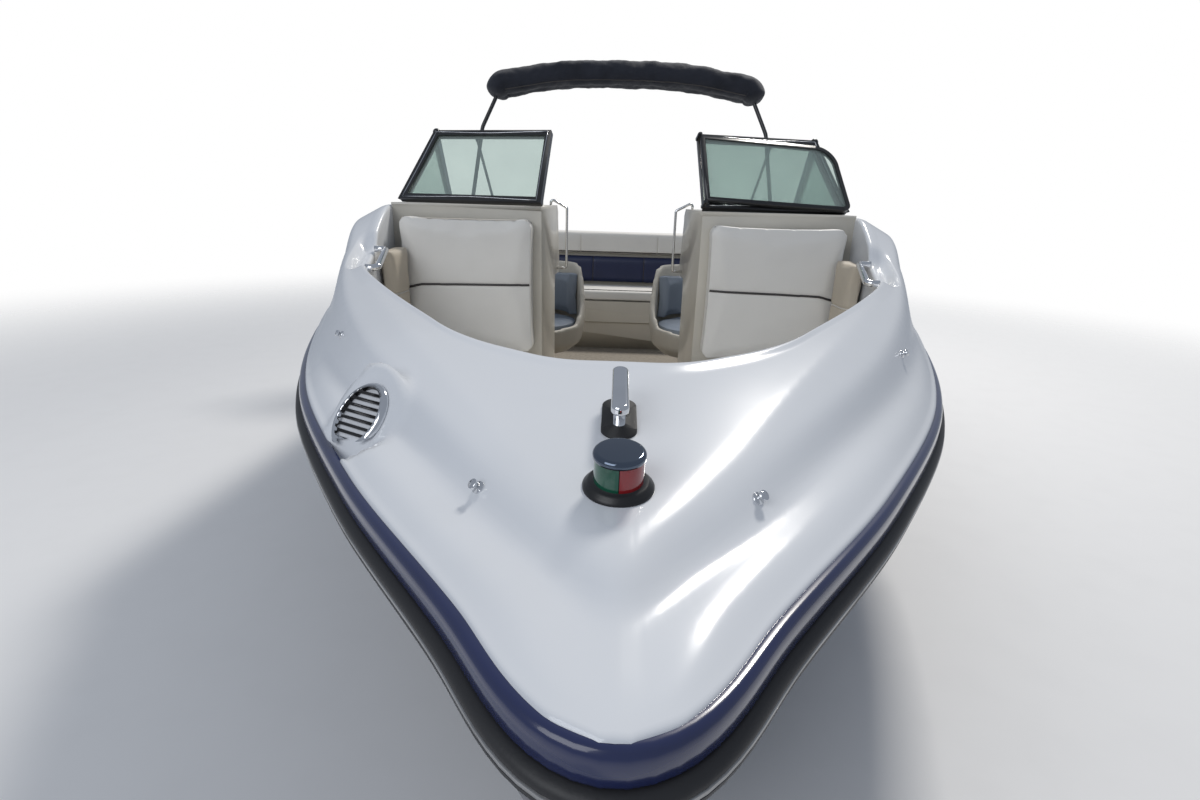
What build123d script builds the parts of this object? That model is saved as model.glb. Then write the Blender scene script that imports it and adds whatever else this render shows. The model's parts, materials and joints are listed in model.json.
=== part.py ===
"""Bowrider speedboat: hull, decks, seats, windshield, folding top, sterndrive.

Frame: +Z up, bow towards -Y, starboard towards -X, origin on the waterline amidships.
All lengths are millimetres.
"""
import math
import os

from build123d import *

os.makedirs("parts", exist_ok=True)

# Clearances
running_gap = 6.0
seat_gap = 0.3
pin_clearance = 0.08

# Hull
transom_y = 2600.0
sheer_z = 800.0
hull_wall = 45.0
bottom_wall = 60.0

# Deck
cockpit_half = 890.0
deck_start_y = -2902.0
windshield_y = -850.0
deck_break_y = -560.0
rim_z = 842.0
band_height = 38.0
band_thickness = 14.0
rail_height = 34.0
rail_proud = 26.0

# Cockpits
sole_z = 150.0
bow_sole_z = 250.0
sole_thickness = 24.0
sole_half = cockpit_half + 10.0
bow_front_y = -2180.0
walkway_half = 310.0
console_front_y = windshield_y
console_back_y = -330.0
console_wall = 36.0
dash_top_y = -176.0
dash_low_y = -95.0
windshield_base_z = 1220.0
liner_thickness = 40.0

bow_step_y = -560.0
foot_well = [(130.0, -1820.0), (250.0, -1500.0), (250.0, console_front_y + 60.0)]
tray_z = 470.0
tray_depth = 70.0
tray_start_y = -80.0
dash_low_z = 905.0

# Helm
helm_x = 590.0
pod_width = 420.0
pod_top_z = 1246.0
gauge_radius = 48.0
gauge_offsets = (-150.0, 150.0)
gauge_rise = 72.0
boss_length = 24.0
wheel_shaft = 10.0
wheel_radius = 172.0
wheel_grip = 15.0
wheel_standoff = 90.0
throttle_y = 120.0
throttle_z = 700.0

# Bow seats
bow_seat_z = 520.0
bow_cushion = 95.0
pad_thickness = 92.0
pad_width = cockpit_half - walkway_half - 32.0
pad_bottom_z = 640.0
pad_top_z = windshield_base_z - 26.0
cushion_inset = 8.0
cushion_split = 12.0
bolster_top_z = 1070.0
bolster_low_z = 645.0
bolster_gap = 9.0
bolster_width = 70.0
bolster_back_y = console_front_y - pad_thickness - 2.0 * seat_gap
bolster_front_y = console_front_y - 262.0

# Windshield
frame_depth = 26.0
frame_face = 24.0
glass_thickness = 6.0
post_bottom = (walkway_half - 2.0, -862.0, windshield_base_z + 8.0)
post_top = (290.0, -655.0, 1502.0)
corner_bottom = (cockpit_half + 15.0, -705.0, windshield_base_z + 8.0)
corner_top = (556.0, 342.0)
side_end = (cockpit_half + 85.0, 330.0, 1100.0)
side_end_height = 46.0
door_gap = 9.0
door_thickness = 16.0
door_face = 16.0
door_foot = 14.0
door_head = 26.0
lug_gap = 1.2
lug_height = 11.0
rail_inset = 48.0
rail_tube = 12.0
rail_low_z = 925.0

# Rear seat and engine bay
bench_front_y = 1300.0
bench_top_z = 520.0
bench_cushion = 88.0
backrest_y = 1640.0
backrest_thickness = 150.0
backrest_top_z = 1015.0
hatch_front_y = backrest_y + backrest_thickness + 22.0
hatch_back_y = 2470.0
hatch_half = cockpit_half - 270.0
hatch_z = 905.0
hatch_thickness = 45.0
bench_half = cockpit_half - running_gap
backrest_split_z = 850.0
backrest_pad = 84.0
sunpad_thickness = 70.0
bulkhead_y = backrest_y + backrest_thickness
hinge_xs = (-400.0, 400.0)
hinge_width = 50.0
hinge_radius = 9.0
hinge_pin = 4.0
hatch_hinge_y = hatch_back_y + 14.0
hatch_hinge_z = hatch_z + 13.0

# Stern
platform_end_y = 3050.0
platform_z = 330.0
platform_thickness = 90.0
platform_half = cockpit_half - 10.0

# Sterndrive
drive_z = 12.0
steer_y = transom_y + 136.0
shield_thickness = 22.0
swivel_fork = 28.0
gimbal_half = 150.0
gimbal_width = 130.0
gimbal_wall = 32.0
gimbal_depth = 44.0
yoke_thickness = 20.0
pin_radius = 14.0
plate_drop = 362.0
prop_drop = 560.0
hub_start = 396.0
hub_length = 92.0
hub_radius = 48.0
shaft_radius = 16.0
# Blade sections from root to tip. Columns: radius, chord, angle from the wheel's plane, thickness.
blade_table = [
    (40.0, 76.0, 52.0, 11.0),
    (90.0, 116.0, 36.0, 9.0),
    (135.0, 128.0, 27.0, 7.0),
    (168.0, 96.0, 22.0, 5.0),
    (183.0, 36.0, 20.0, 4.0),
]

# Engine
engine_y = 2130.0
engine_z = 190.0

# Boarding ladder
ladder_x = 520.0
ladder_width = 300.0
ladder_tube = 25.0
ladder_length = 430.0
ladder_pivot_y = platform_end_y + 22.0

# Bucket seats
seat_x = 500.0
seat_y = 440.0
seat_bottom_z = 350.0
seat_pan_z = 466.0
seat_top_z = 880.0
seat_front_z = 520.0
seat_radius = 300.0
seat_wall = 36.0
seat_cushion = 76.0
pedestal_radius = 62.0
stub_radius = 24.0
stub_length = 70.0

# Folding top
top_x = 1012.0
top_y = 900.0
top_lift = 42.0
top_lean = 14.0
top_tube = 25.0
# Main bow of the top. Columns: half breadth, distance up the bow from its pivot.
bow_table = [(top_x, 0.0), (934.0, 640.0), (812.0, 915.0), (430.0, 985.0), (0.0, 1000.0)]
bow_radius = 110.0
boot_height = 160.0
boot_width = 190.0
brace_reach = 560.0
brace_foot_y = 1750.0
brace_tube = 19.0
brace_offset = 25.0
top_pin_radius = 6.0
boot_end = (836.0, 861.0)

# Bow fittings
lamp_y = -2580.0
lamp_base_radius = 46.0
lamp_radius = 32.0
lamp_lens_z = 46.0
cleat_y = -2400.0
cleat_length = 150.0
grille_y = -2290.0
grille_length = 132.0
grille_width = 108.0
grille_facing = (-0.36, -0.66, 0.66)
grille_boss = 26.0
grille_rise = 20.0
grille_ring = 11.0
grille_slats = 10
grille_pitch = 12.6
# Cover studs on the deck's shoulder, one a side. Column: y.
stud_ys = (-2550.0, -1885.0)
stud_radius = 9.0
handle_y = -1240.0
handle_length = 210.0
handle_tube = 22.0
handle_stand = 40.0
handle_drop = 26.0

# Deck fittings
cleat_ys = (600.0, 2230.0)
eye_x = 700.0
eye_z = 120.0
bow_eye_y = -2640.0
bow_eye_z = 300.0


def section(y):
    """Plane across the boat at a station; its x is athwart, its y is up."""
    return Plane.XZ.offset(-y)


def mirrored(points):
    """Closes a half outline, keel or centre first, with its mirror image."""
    return points + [(-x, z) for x, z in reversed(points) if x > 0.0]


def mirrored_plan(half):
    """Closes a half plan, given from the bow aft, with its mirror image."""
    return [(-x, y) for x, y in reversed(half)] + half


def loft_across(stations):
    """Solid through outlines across the boat: a list of (y, points)."""
    with BuildPart() as body:
        for y, points in stations:
            with BuildSketch(section(y)):
                with BuildLine():
                    Polyline(*points, close=True)
                make_face()
        loft(ruled=True)
    return body.part


def slopes(ys, values):
    """Monotone slope at each station of one column, so that a fair curve never overshoots."""
    steps = [(values[i + 1] - values[i]) / (ys[i + 1] - ys[i]) for i in range(len(ys) - 1)]
    inner = [
        0.0 if a * b <= 0.0 else 2.0 * a * b / (a + b)
        for a, b in zip(steps, steps[1:])
    ]
    return [steps[0]] + inner + [steps[-1]]


def fair(table, y):
    """Row of a station table at y, on a smooth curve through the rows."""
    ys = [row[0] for row in table]
    i = max(k for k in range(len(ys) - 1) if ys[k] <= y)
    h = ys[i + 1] - ys[i]
    t = (y - ys[i]) / h
    row = [y]
    for column in range(1, len(table[0])):
        values = [r[column] for r in table]
        m = slopes(ys, values)
        row.append(
            values[i] * (1.0 + 2.0 * t) * (1.0 - t) ** 2
            + h * m[i] * t * (1.0 - t) ** 2
            + values[i + 1] * t ** 2 * (3.0 - 2.0 * t)
            - h * m[i + 1] * t ** 2 * (1.0 - t)
        )
    return row


# Stations of the hull. Columns: y, keel z, chine x, chine z, sheer x.
hull_table = [
    (-2880.0, 660.0, 26.0, 690.0, 58.0),
    (-2700.0, 395.0, 92.0, 480.0, 206.0),
    (-2350.0, 75.0, 255.0, 275.0, 478.0),
    (-1800.0, -190.0, 530.0, 125.0, 765.0),
    (-1000.0, -315.0, 812.0, 20.0, 1030.0),
    (300.0, -345.0, 945.0, -30.0, 1128.0),
    (transom_y, -340.0, 962.0, -45.0, 1100.0),
]


def hull_outline(row, wall, floor, top):
    """Closed outline of one station, moved inwards by the wall and up by the floor."""
    y, keel_z, chine_x, chine_z, sheer_x = row
    return mirrored([
        (0.0, keel_z + floor),
        (chine_x - wall, chine_z + floor * 0.55),
        (sheer_x - wall, top),
    ])


hull_stations = [-2880, -2800, -2700, -2560, -2350, -2080, -1800, -1400, -1000, -400, 300, 1400, transom_y]


def hull_solid(wall, floor, first, last_y):
    """Filled hull from one station aft, drawn in by the wall and up by the floor."""
    rows = [fair(hull_table, y) for y in hull_stations[first:]]
    return loft_across([
        (min(row[0], last_y), hull_outline(row, wall, floor, sheer_z)) for row in rows
    ])


def make_hull(outer, inner):
    with BuildPart() as hull:
        add(outer)
        add(inner, mode=Mode.SUBTRACT)
    return hull


# Half breadth of the decks' rim. Columns: y, rim x.
rim_table = [
    (deck_start_y, 16.0),
    (-2880.0, 60.0),
    (-2740.0, 172.0),
    (-2450.0, 408.0),
    (-2000.0, 700.0),
    (-1500.0, cockpit_half + 25.0),
    (-1150.0, cockpit_half + 140.0),
    (windshield_y, cockpit_half + 208.0),
    (deck_break_y, cockpit_half + 228.0),
    (330.0, cockpit_half + 238.0),
    (transom_y, cockpit_half + 208.0),
]

# Stations of the foredeck. Columns: y, coaming x and z, shoulder x and z, ledge x and z.
deck_table = [
    (deck_start_y, 3.0, 842.0, 5.0, 842.0, 8.0, 842.0),
    (-2860.0, 8.0, 849.0, 12.0, 849.0, 18.0, 848.0),
    (-2775.0, 10.0, 858.0, 14.0, 858.0, 24.0, 856.0),
    (-2715.0, 16.0, 884.0, 34.0, 878.0, 62.0, 858.0),
    (-2600.0, 84.0, 902.0, 126.0, 890.0, 166.0, 862.0),
    (-2450.0, 180.0, 922.0, 240.0, 908.0, 284.0, 870.0),
    (-2000.0, 470.0, 985.0, 570.0, 955.0, 614.0, 888.0),
    (-1500.0, cockpit_half - 148.0, 1030.0, cockpit_half - 62.0, 1010.0, cockpit_half - 22.0, 900.0),
    (-1150.0, cockpit_half - 14.0, 1088.0, cockpit_half + 68.0, 1066.0, cockpit_half + 108.0, 925.0),
    (windshield_y, cockpit_half + 35.0, 1205.0, cockpit_half + 138.0, 1150.0, cockpit_half + 186.0, 1000.0),
    (deck_break_y, cockpit_half + 50.0, 1205.0, cockpit_half + 146.0, 1135.0, cockpit_half + 200.0, 990.0),
]

# Stations of the side decks, in the same columns, from the foredeck aft.
side_table = [
    deck_table[-1],
    (-100.0, cockpit_half + 58.0, 1148.0, cockpit_half + 146.0, 1090.0, cockpit_half + 208.0, 964.0),
    (330.0, cockpit_half + 70.0, 1100.0, cockpit_half + 150.0, 1050.0, cockpit_half + 212.0, 945.0),
    (900.0, cockpit_half + 95.0, 1036.0, cockpit_half + 160.0, 1008.0, cockpit_half + 212.0, 930.0),
    (2000.0, cockpit_half + 95.0, 1005.0, cockpit_half + 150.0, 975.0, cockpit_half + 200.0, 915.0),
    (transom_y, cockpit_half + 85.0, 985.0, cockpit_half + 135.0, 955.0, cockpit_half + 184.0, 905.0),
]
deck_stations = [deck_start_y, -2890, -2860, -2775, -2745, -2715, -2660, -2600, -2525, -2450, -2340, -2230, -2110,
                 -2000, -1870, -1750, -1620, -1500, -1380, -1260, -1150, -1070, -1000, -920,
                 windshield_y, -700, deck_break_y]

# Opening of the bow cockpit, from its bow corner aft, port side. Columns: x, y.
coaming_line = [
    (120.0, bow_front_y),
    (330.0, -2075.0),
    (560.0, -1775.0),
    (cockpit_half - 90.0, -1400.0),
    (cockpit_half - 18.0, -1080.0),
    (cockpit_half, windshield_y),
]
coaming_radius = 260.0
side_stations = [deck_break_y, -330, -100, 120, 330, 600, 900, 1400, 2000, transom_y]


def coaming_edge(y):
    """Inner edge of the bow cockpit on the port side and its deck height."""
    row = fair(deck_table, y)
    (x0, y0), (x1, y1) = [pair for pair in zip(coaming_line, coaming_line[1:]) if pair[0][1] <= y][-1]
    return x0 + (x1 - x0) * (y - y0) / (y1 - y0), row[2]


def rim_half(y):
    return fair(rim_table, y)[1]


def cockpit_outline(y_end=deck_break_y + 5.0):
    """Plan of the bow cockpit's opening, from starboard to port round the bow."""
    half = list(coaming_line)
    if y_end > windshield_y:
        half.append((cockpit_half, y_end))
    return mirrored_plan(half)


def cockpit_plan(grow=0.0, y_end=deck_break_y + 5.0):
    """Face of the bow cockpit's opening with its rounded bow, grown outwards."""
    with BuildSketch() as plan:
        with BuildLine():
            Polyline(*cockpit_outline(y_end), close=True)
        make_face()
        fillet(plan.vertices().filter_by_position(Axis.Y, bow_front_y - 1.0, windshield_y - 100.0), coaming_radius)
        if grow:
            offset(amount=grow, kind=Kind.INTERSECTION)
    return plan.sketch


def make_deck_bow():
    """Foredeck with its raised platform, side ledge and swept-up cockpit coaming."""
    def outline(y):
        row = fair(deck_table, y)
        rim = rim_half(y)
        return mirrored([(0.0, row[2]), (row[1], row[2]), (row[3], row[4]), (row[5], row[6]),
                         (rim, rim_z), (rim, sheer_z)])
    shape = loft_across([(y, outline(y)) for y in deck_stations])
    with BuildPart() as boss:
        with BuildSketch(grille_plane().offset(-70.0)):
            Ellipse(grille_length / 2.0 + grille_boss, grille_width / 2.0 + grille_boss)
        with BuildSketch(grille_plane()):
            Ellipse(grille_length / 2.0 + 5.0, grille_width / 2.0 + 5.0)
        loft()
        with BuildSketch(Plane.XY.offset(sheer_z)):
            add(rim_plan(-1.0))
        extrude(amount=400.0, mode=Mode.INTERSECT)
    with BuildPart() as deck:
        add(shape)
        add(boss)
        with BuildSketch(Plane.XY.offset(sheer_z - 10.0)):
            add(cockpit_plan())
        extrude(amount=500.0, mode=Mode.SUBTRACT)
    return deck


def make_deck_sides():
    """Side decks from the foredeck to the transom, one solid a side."""
    def outline(y):
        row = fair(side_table, y)
        rim = rim_half(y)
        return [(cockpit_half, sheer_z), (cockpit_half, row[2]), (row[1], row[2]), (row[3], row[4]),
                (row[5], row[6]), (rim, rim_z), (rim, sheer_z)]
    port = loft_across([(y, outline(y)) for y in side_stations])
    with BuildPart() as sides:
        add(port)
        mirror(about=Plane.YZ)
    return sides


def rim_plan(grow):
    """Face inside the decks' rim, seen from above, grown outwards; it runs past the transom."""
    half = [(x, y) for y, x in ((y, rim_half(y)) for y in deck_stations + side_stations[1:])]
    nose = [(0.0, deck_start_y - 2.0)]
    with BuildSketch() as plan:
        with BuildLine():
            points = nose + half
            Polyline(*points, *[(-x, y) for x, y in reversed(points) if x > 0.0], close=True)
        make_face()
        if grow:
            offset(amount=grow, kind=Kind.ARC)
    return plan.sketch


def make_edge_ring(z, height, inner_grow, outer_grow, core):
    """Band round the boat's edge between two plan offsets, cut to the solid that carries it."""
    with BuildPart() as ring:
        with BuildSketch(Plane.XY.offset(z)):
            add(rim_plan(outer_grow))
            if inner_grow is not None:
                add(rim_plan(inner_grow), mode=Mode.SUBTRACT)
        extrude(amount=height)
        with BuildSketch(Plane.XY.offset(z - 1.0)):
            with Locations((0.0, transom_y)):
                Rectangle(3000.0, 200.0, align=(Align.CENTER, Align.MIN))
        extrude(amount=height + 2.0, mode=Mode.SUBTRACT)
        if core is not None:
            add(core, mode=Mode.SUBTRACT)
    return ring


def make_sole():
    """Cockpit floor with its raised bow well and the step between them."""
    main = [(sole_half - 140.0, -980.0), (sole_half - 30.0, 0.0), (sole_half, 300.0), (sole_half, bulkhead_y)]
    bow = [(300.0, -1960.0), (520.0, -1400.0), (600.0, bow_step_y)]
    with BuildPart() as sole:
        for z, half in ((sole_z, main), (bow_sole_z, bow)):
            with BuildSketch(Plane.XY.offset(z - sole_thickness)):
                with BuildLine():
                    Polyline(*[(-x, y) for x, y in reversed(half)], *half, close=True)
                make_face()
            extrude(amount=sole_thickness)
        with Locations((0.0, bow_step_y, sole_z - sole_thickness)):
            Box(2.0 * walkway_half - 2.0 * seat_gap, sole_thickness, bow_sole_z - sole_z + sole_thickness,
                align=(Align.CENTER, Align.MAX, Align.MIN))
    return sole


def make_bow_liner(cavity):
    """Moulded bow seat, walls of the bow cockpit and the well for feet."""
    with BuildPart() as liner:
        with BuildSketch(Plane.XY.offset(bow_sole_z)):
            add(cockpit_plan(liner_thickness, console_front_y))
            with Locations((0.0, console_front_y)):
                Rectangle(3.0 * cockpit_half, 400.0, align=(Align.CENTER, Align.MIN), mode=Mode.SUBTRACT)
        extrude(amount=sheer_z - bow_sole_z)
        with BuildSketch(Plane.XY.offset(bow_seat_z)):
            add(cockpit_plan(0.0, console_front_y + 50.0))
        extrude(amount=sheer_z, mode=Mode.SUBTRACT)
        with BuildSketch(Plane.XY.offset(bow_sole_z)) as well:
            with BuildLine():
                Polyline(*mirrored_plan(foot_well), close=True)
            make_face()
            fillet(well.vertices().group_by(Axis.Y)[0], 90.0)
        extrude(amount=bow_seat_z, mode=Mode.SUBTRACT)
        add(cavity, mode=Mode.INTERSECT)
    return liner


def make_cockpit_liner(cavity):
    """Inner walls of the main cockpit, one moulding a side, each with its storage tray."""
    with BuildPart() as liner:
        with BuildSketch(Plane.XY.offset(tray_z)):
            with Locations((cockpit_half, console_front_y)):
                Rectangle(liner_thickness, backrest_y - console_front_y, align=(Align.MIN, Align.MIN))
        extrude(amount=sheer_z - tray_z)
        with BuildSketch(Plane.XY.offset(sole_z)):
            with Locations((cockpit_half - tray_depth, tray_start_y)):
                Rectangle(tray_depth, bench_front_y - 20.0 - tray_start_y, align=(Align.MIN, Align.MIN))
        extrude(amount=tray_z - sole_z + 40.0)
        with BuildSketch(Plane.XY.offset(sole_z + 60.0)):
            with Locations((cockpit_half - tray_depth, tray_start_y + 60.0)):
                Rectangle(tray_depth - 20.0, bench_front_y - 140.0 - tray_start_y, align=(Align.MIN, Align.MIN))
        extrude(amount=tray_z - sole_z - 60.0, mode=Mode.SUBTRACT)
        mirror(about=Plane.YZ)
        add(cavity, mode=Mode.INTERSECT)
    return liner


def console_profile():
    """Side view of a console: front wall, top, dash and knee space. Points are (y, z)."""
    return [
        (console_front_y, bow_sole_z), (console_front_y, windshield_base_z - 18.0),
        (console_front_y - 10.0, windshield_base_z - 6.0), (console_front_y - 8.0, windshield_base_z),
        (dash_top_y - 50.0, windshield_base_z), (dash_top_y, windshield_base_z - 30.0),
        (dash_top_y - 4.0, windshield_base_z - 60.0), (dash_low_y, dash_low_z),
        (dash_low_y - 60.0, dash_low_z - 10.0), (console_front_y + console_wall, dash_low_z + 10.0),
        (console_front_y + console_wall, bow_sole_z),
    ]


def make_console(side, hull):
    """Console behind the bow backrest: side +1 is port, -1 is starboard, the helm."""
    inner = side * walkway_half
    width = cockpit_half - seat_gap - walkway_half
    with BuildPart() as console:
        with BuildSketch(Plane.YZ.offset(inner)):
            with BuildLine():
                Polyline(*console_profile(), close=True)
            make_face()
        extrude(amount=side * width)
        with BuildSketch(Plane.YZ.offset(inner)):
            with BuildLine():
                Polyline(
                    (console_front_y, bow_sole_z), (console_front_y, windshield_base_z - 60.0),
                    (dash_top_y - 30.0, windshield_base_z - 60.0), (console_back_y, dash_low_z - 60.0),
                    (console_back_y, bow_sole_z), close=True)
            make_face()
        extrude(amount=side * console_wall)
        if side < 0:
            with BuildSketch(Plane.YZ.offset(-helm_x - pod_width / 2.0)):
                with BuildLine():
                    Polyline(
                        (dash_top_y - 150.0, windshield_base_z - 10.0), (dash_top_y - 124.0, pod_top_z),
                        (dash_top_y - 30.0, pod_top_z), (dash_top_y - 6.0, windshield_base_z - 40.0),
                        (dash_top_y - 60.0, windshield_base_z - 44.0), close=True)
                make_face()
            extrude(amount=pod_width)
        add(hull, mode=Mode.SUBTRACT)
    return console


def make_helm_controls():
    """Gauges on the dash, the wheel's hub boss and the throttle beside the seat."""
    face = dash_plane()
    with BuildPart() as controls:
        for x in gauge_offsets:
            with BuildSketch(face):
                with Locations((x, gauge_rise)):
                    Circle(gauge_radius)
            extrude(amount=9.0)
            with BuildSketch(face.offset(4.0)):
                with Locations((x, gauge_rise)):
                    Circle(gauge_radius - 7.0)
            extrude(amount=6.0, mode=Mode.SUBTRACT)
        with BuildSketch(face):
            Circle(44.0)
            Circle(wheel_shaft + pin_clearance, mode=Mode.SUBTRACT)
        extrude(amount=boss_length)
    return controls


def dash_plane():
    """Plane on the sloping dash face at the steering shaft; its normal looks aft and up."""
    top = Vector(0.0, dash_top_y - 4.0, windshield_base_z - 60.0)
    low = Vector(0.0, dash_low_y, dash_low_z)
    middle = low + (top - low) * 0.42
    normal = (top - low).normalized().cross(Vector(1.0, 0.0, 0.0))
    return Plane(origin=(-helm_x, middle.Y, middle.Z), x_dir=(-1.0, 0.0, 0.0), z_dir=normal)


def make_throttle():
    """Side-mounted throttle box and its lever, on the starboard wall by the helm."""
    with BuildPart() as throttle:
        with Locations((-(cockpit_half - 0.0), throttle_y, throttle_z)):
            Box(34.0, 130.0, 150.0, align=(Align.MIN, Align.CENTER, Align.CENTER))
        fillet(throttle.edges().filter_by(Axis.X), 24.0)
        with BuildSketch(Plane.YZ.offset(-(cockpit_half - 34.0))):
            with Locations((throttle_y, throttle_z + 20.0)):
                Circle(26.0)
        extrude(amount=18.0)
        with BuildSketch(Plane.YZ.offset(-(cockpit_half - 52.0))):
            with Locations((throttle_y, throttle_z + 20.0)):
                Rectangle(22.0, 190.0, align=(Align.CENTER, Align.MIN))
        extrude(amount=12.0)
        with Locations((-(cockpit_half - 70.0), throttle_y, throttle_z + 222.0)):
            Sphere(27.0)
    return throttle


def make_steering_wheel():
    """Three-spoke wheel whose shaft is square to the dash."""
    seat = dash_plane().offset(boss_length + running_gap - 1.0)
    rim_plane = seat.offset(wheel_standoff)
    with BuildPart() as wheel:
        with BuildSketch(seat):
            Circle(24.0)
        extrude(amount=wheel_standoff)
        with BuildSketch(dash_plane().offset(4.0)):
            Circle(wheel_shaft)
        extrude(amount=boss_length + running_gap)
        with BuildSketch(rim_plane.offset(-12.0)):
            Circle(46.0)
        extrude(amount=24.0)
        for turn in (30.0, 150.0, 270.0):
            with BuildSketch(rim_plane.offset(-7.0)):
                with Locations(Rotation(0.0, 0.0, turn)):
                    with Locations((40.0, 0.0)):
                        Rectangle(wheel_radius - 44.0, 30.0, align=(Align.MIN, Align.CENTER))
            extrude(amount=8.0)
        with BuildSketch(Plane(rim_plane.origin, x_dir=rim_plane.x_dir, z_dir=rim_plane.y_dir)):
            with Locations((wheel_radius, 0.0)):
                Circle(wheel_grip)
        revolve(axis=Axis(rim_plane.origin, rim_plane.z_dir))
    return wheel


def panel_plane():
    """Plane of the port front panel: origin at the post's foot, x outboard, y up, z forward."""
    foot = Vector(*post_bottom)
    across = (Vector(*corner_bottom) - foot).normalized()
    normal = across.cross(Vector(*post_top) - foot).normalized()
    return Plane(origin=foot, x_dir=across, z_dir=normal)


def local_point(plane, point):
    """Position of a point of the boat in a plane's own x and y."""
    place = plane.to_local_coords(Vector(*point))
    return (place.X, place.Y)


def front_outline(plane):
    """Front panel between its inner post and its corner post, in the panel's plane."""
    width = (Vector(*corner_bottom) - Vector(*post_bottom)).length
    return [(0.0, 0.0), (width, 0.0), corner_top, local_point(plane, post_top)]


def corner_top_point():
    """Head of the port corner post."""
    return panel_plane().from_local_coords(Vector(*corner_top, 0.0))


def side_plane():
    """Plane of the port side panel: origin at the corner post's foot, x aft, z outboard."""
    foot = Vector(*corner_bottom)
    end = Vector(*side_end)
    along = (end - foot).normalized()
    normal = along.cross(corner_top_point() - foot).normalized()
    if normal.X < 0.0:
        normal = -normal
    return Plane(origin=foot, x_dir=along, z_dir=normal)


def side_outline(plane):
    end = local_point(plane, side_end)
    head = local_point(plane, tuple(corner_top_point()))
    lift = math.copysign(side_end_height, head[1])
    return [(0.0, 0.0), end, (end[0] - 12.0, lift), head]


def framed(outline, plane):
    """Rail of even width round an outline, centred on its plane."""
    with BuildPart() as frame:
        with BuildSketch(plane.offset(-frame_depth / 2.0)):
            with BuildLine():
                Polyline(*outline, close=True)
            make_face()
            offset(amount=-frame_face, mode=Mode.SUBTRACT, kind=Kind.INTERSECTION)
        extrude(amount=frame_depth)
    return frame.part


def glazed(outline, plane):
    """Glass that fills a rail made by framed()."""
    with BuildPart() as glass:
        with BuildSketch(plane.offset(-glass_thickness / 2.0)):
            with BuildLine():
                Polyline(*outline, close=True)
            make_face()
            offset(amount=-frame_face, mode=Mode.REPLACE, kind=Kind.INTERSECTION)
        extrude(amount=glass_thickness)
    return glass.part


def hinge_ends():
    """Stretches of the door's hinge line, beyond the door's foot and head, that its lugs hold."""
    length = (Vector(*post_top) - Vector(*post_bottom)).length
    return ((door_foot - lug_gap - lug_height, door_foot - lug_gap),
            (length - door_head + lug_gap, length - door_head + lug_gap + lug_height))


def make_windshield_frame(decks):
    front = panel_plane()
    wing = side_plane()
    front_line = front_outline(front)
    wing_line = side_outline(wing)
    with BuildPart() as frame:
        add(framed(front_line, front))
        add(framed(wing_line, wing))
        with Locations(corner_top_point()):
            Sphere(frame_depth / 2.0 + 3.0)
        mirror(about=Plane.YZ)
        hinge = door_plane()
        reach = frame_depth / 2.0 + door_gap + door_thickness / 2.0
        for low, high in hinge_ends():
            with BuildSketch(Plane(origin=hinge.from_local_coords(Vector(low, 0.0, 0.0)), x_dir=hinge.z_dir,
                                   z_dir=hinge.x_dir)):
                Rectangle(reach, 18.0, align=(Align.MAX, Align.CENTER))
                Circle(9.0)
                Circle(hinge_pin + pin_clearance, mode=Mode.SUBTRACT)
            extrude(amount=high - low)
        for deck in decks:
            add(deck, mode=Mode.SUBTRACT)
    return frame


def make_windshield_glass(frame):
    front = panel_plane()
    wing = side_plane()
    with BuildPart() as glass:
        add(glazed(front_outline(front), front))
        add(glazed(side_outline(wing), wing))
        mirror(about=Plane.YZ)
        add(frame, mode=Mode.SUBTRACT)
    return glass


def door_plane():
    """Plane of the open walk-through door: origin on its hinge, x along the hinge, upwards."""
    panel = panel_plane()
    up = (Vector(*post_top) - Vector(*post_bottom)).normalized()
    origin = Vector(*post_bottom) + panel.z_dir * (frame_depth / 2.0 + door_gap + door_thickness / 2.0)
    return Plane(origin=origin, x_dir=up, z_dir=panel.z_dir)


def door_outline():
    """Door in its own plane: x up the hinge, y towards its free edge; shut, it spans the walkway."""
    up = (Vector(*post_top) - Vector(*post_bottom))
    length = up.length
    tilt = up.normalized().X
    plane = door_plane()
    outboard = 1.0 if plane.y_dir.X > 0.0 else -1.0
    def at(rise, reach):
        return (rise + reach * -tilt, outboard * reach * math.sqrt(1.0 - tilt * tilt))
    return [at(door_foot, 0.0), at(door_foot, 2.0 * post_bottom[0] - 4.0),
            at(length - door_head, 2.0 * post_top[0] - 4.0), at(length - door_head, 0.0)]


def make_door(part):
    """Walk-through door of the windshield: its rail, or the glass in it."""
    plane = door_plane()
    line = door_outline()
    with BuildPart() as door:
        with BuildSketch(plane.offset(-(door_thickness if part == "frame" else glass_thickness) / 2.0)) as sketch:
            with BuildLine():
                Polyline(*line, close=True)
            make_face()
            fillet(sketch.vertices().sort_by_distance((*line[2], 0.0))[0], 90.0)
            fillet(sketch.vertices().sort_by_distance((*line[1], 0.0))[0], 30.0)
            if part == "frame":
                offset(amount=-door_face, mode=Mode.SUBTRACT, kind=Kind.INTERSECTION)
            else:
                offset(amount=-door_face, mode=Mode.REPLACE, kind=Kind.INTERSECTION)
        extrude(amount=door_thickness if part == "frame" else glass_thickness)
        if part == "frame":
            for low, high in hinge_ends():
                inward = 8.0 if low < door_foot else -8.0
                with BuildSketch(Plane(origin=plane.from_local_coords(Vector(min(low, low + inward), 0.0, 0.0)),
                                       x_dir=plane.z_dir, z_dir=plane.x_dir)):
                    Circle(hinge_pin)
                extrude(amount=high - low + 8.0)
    return door


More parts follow.
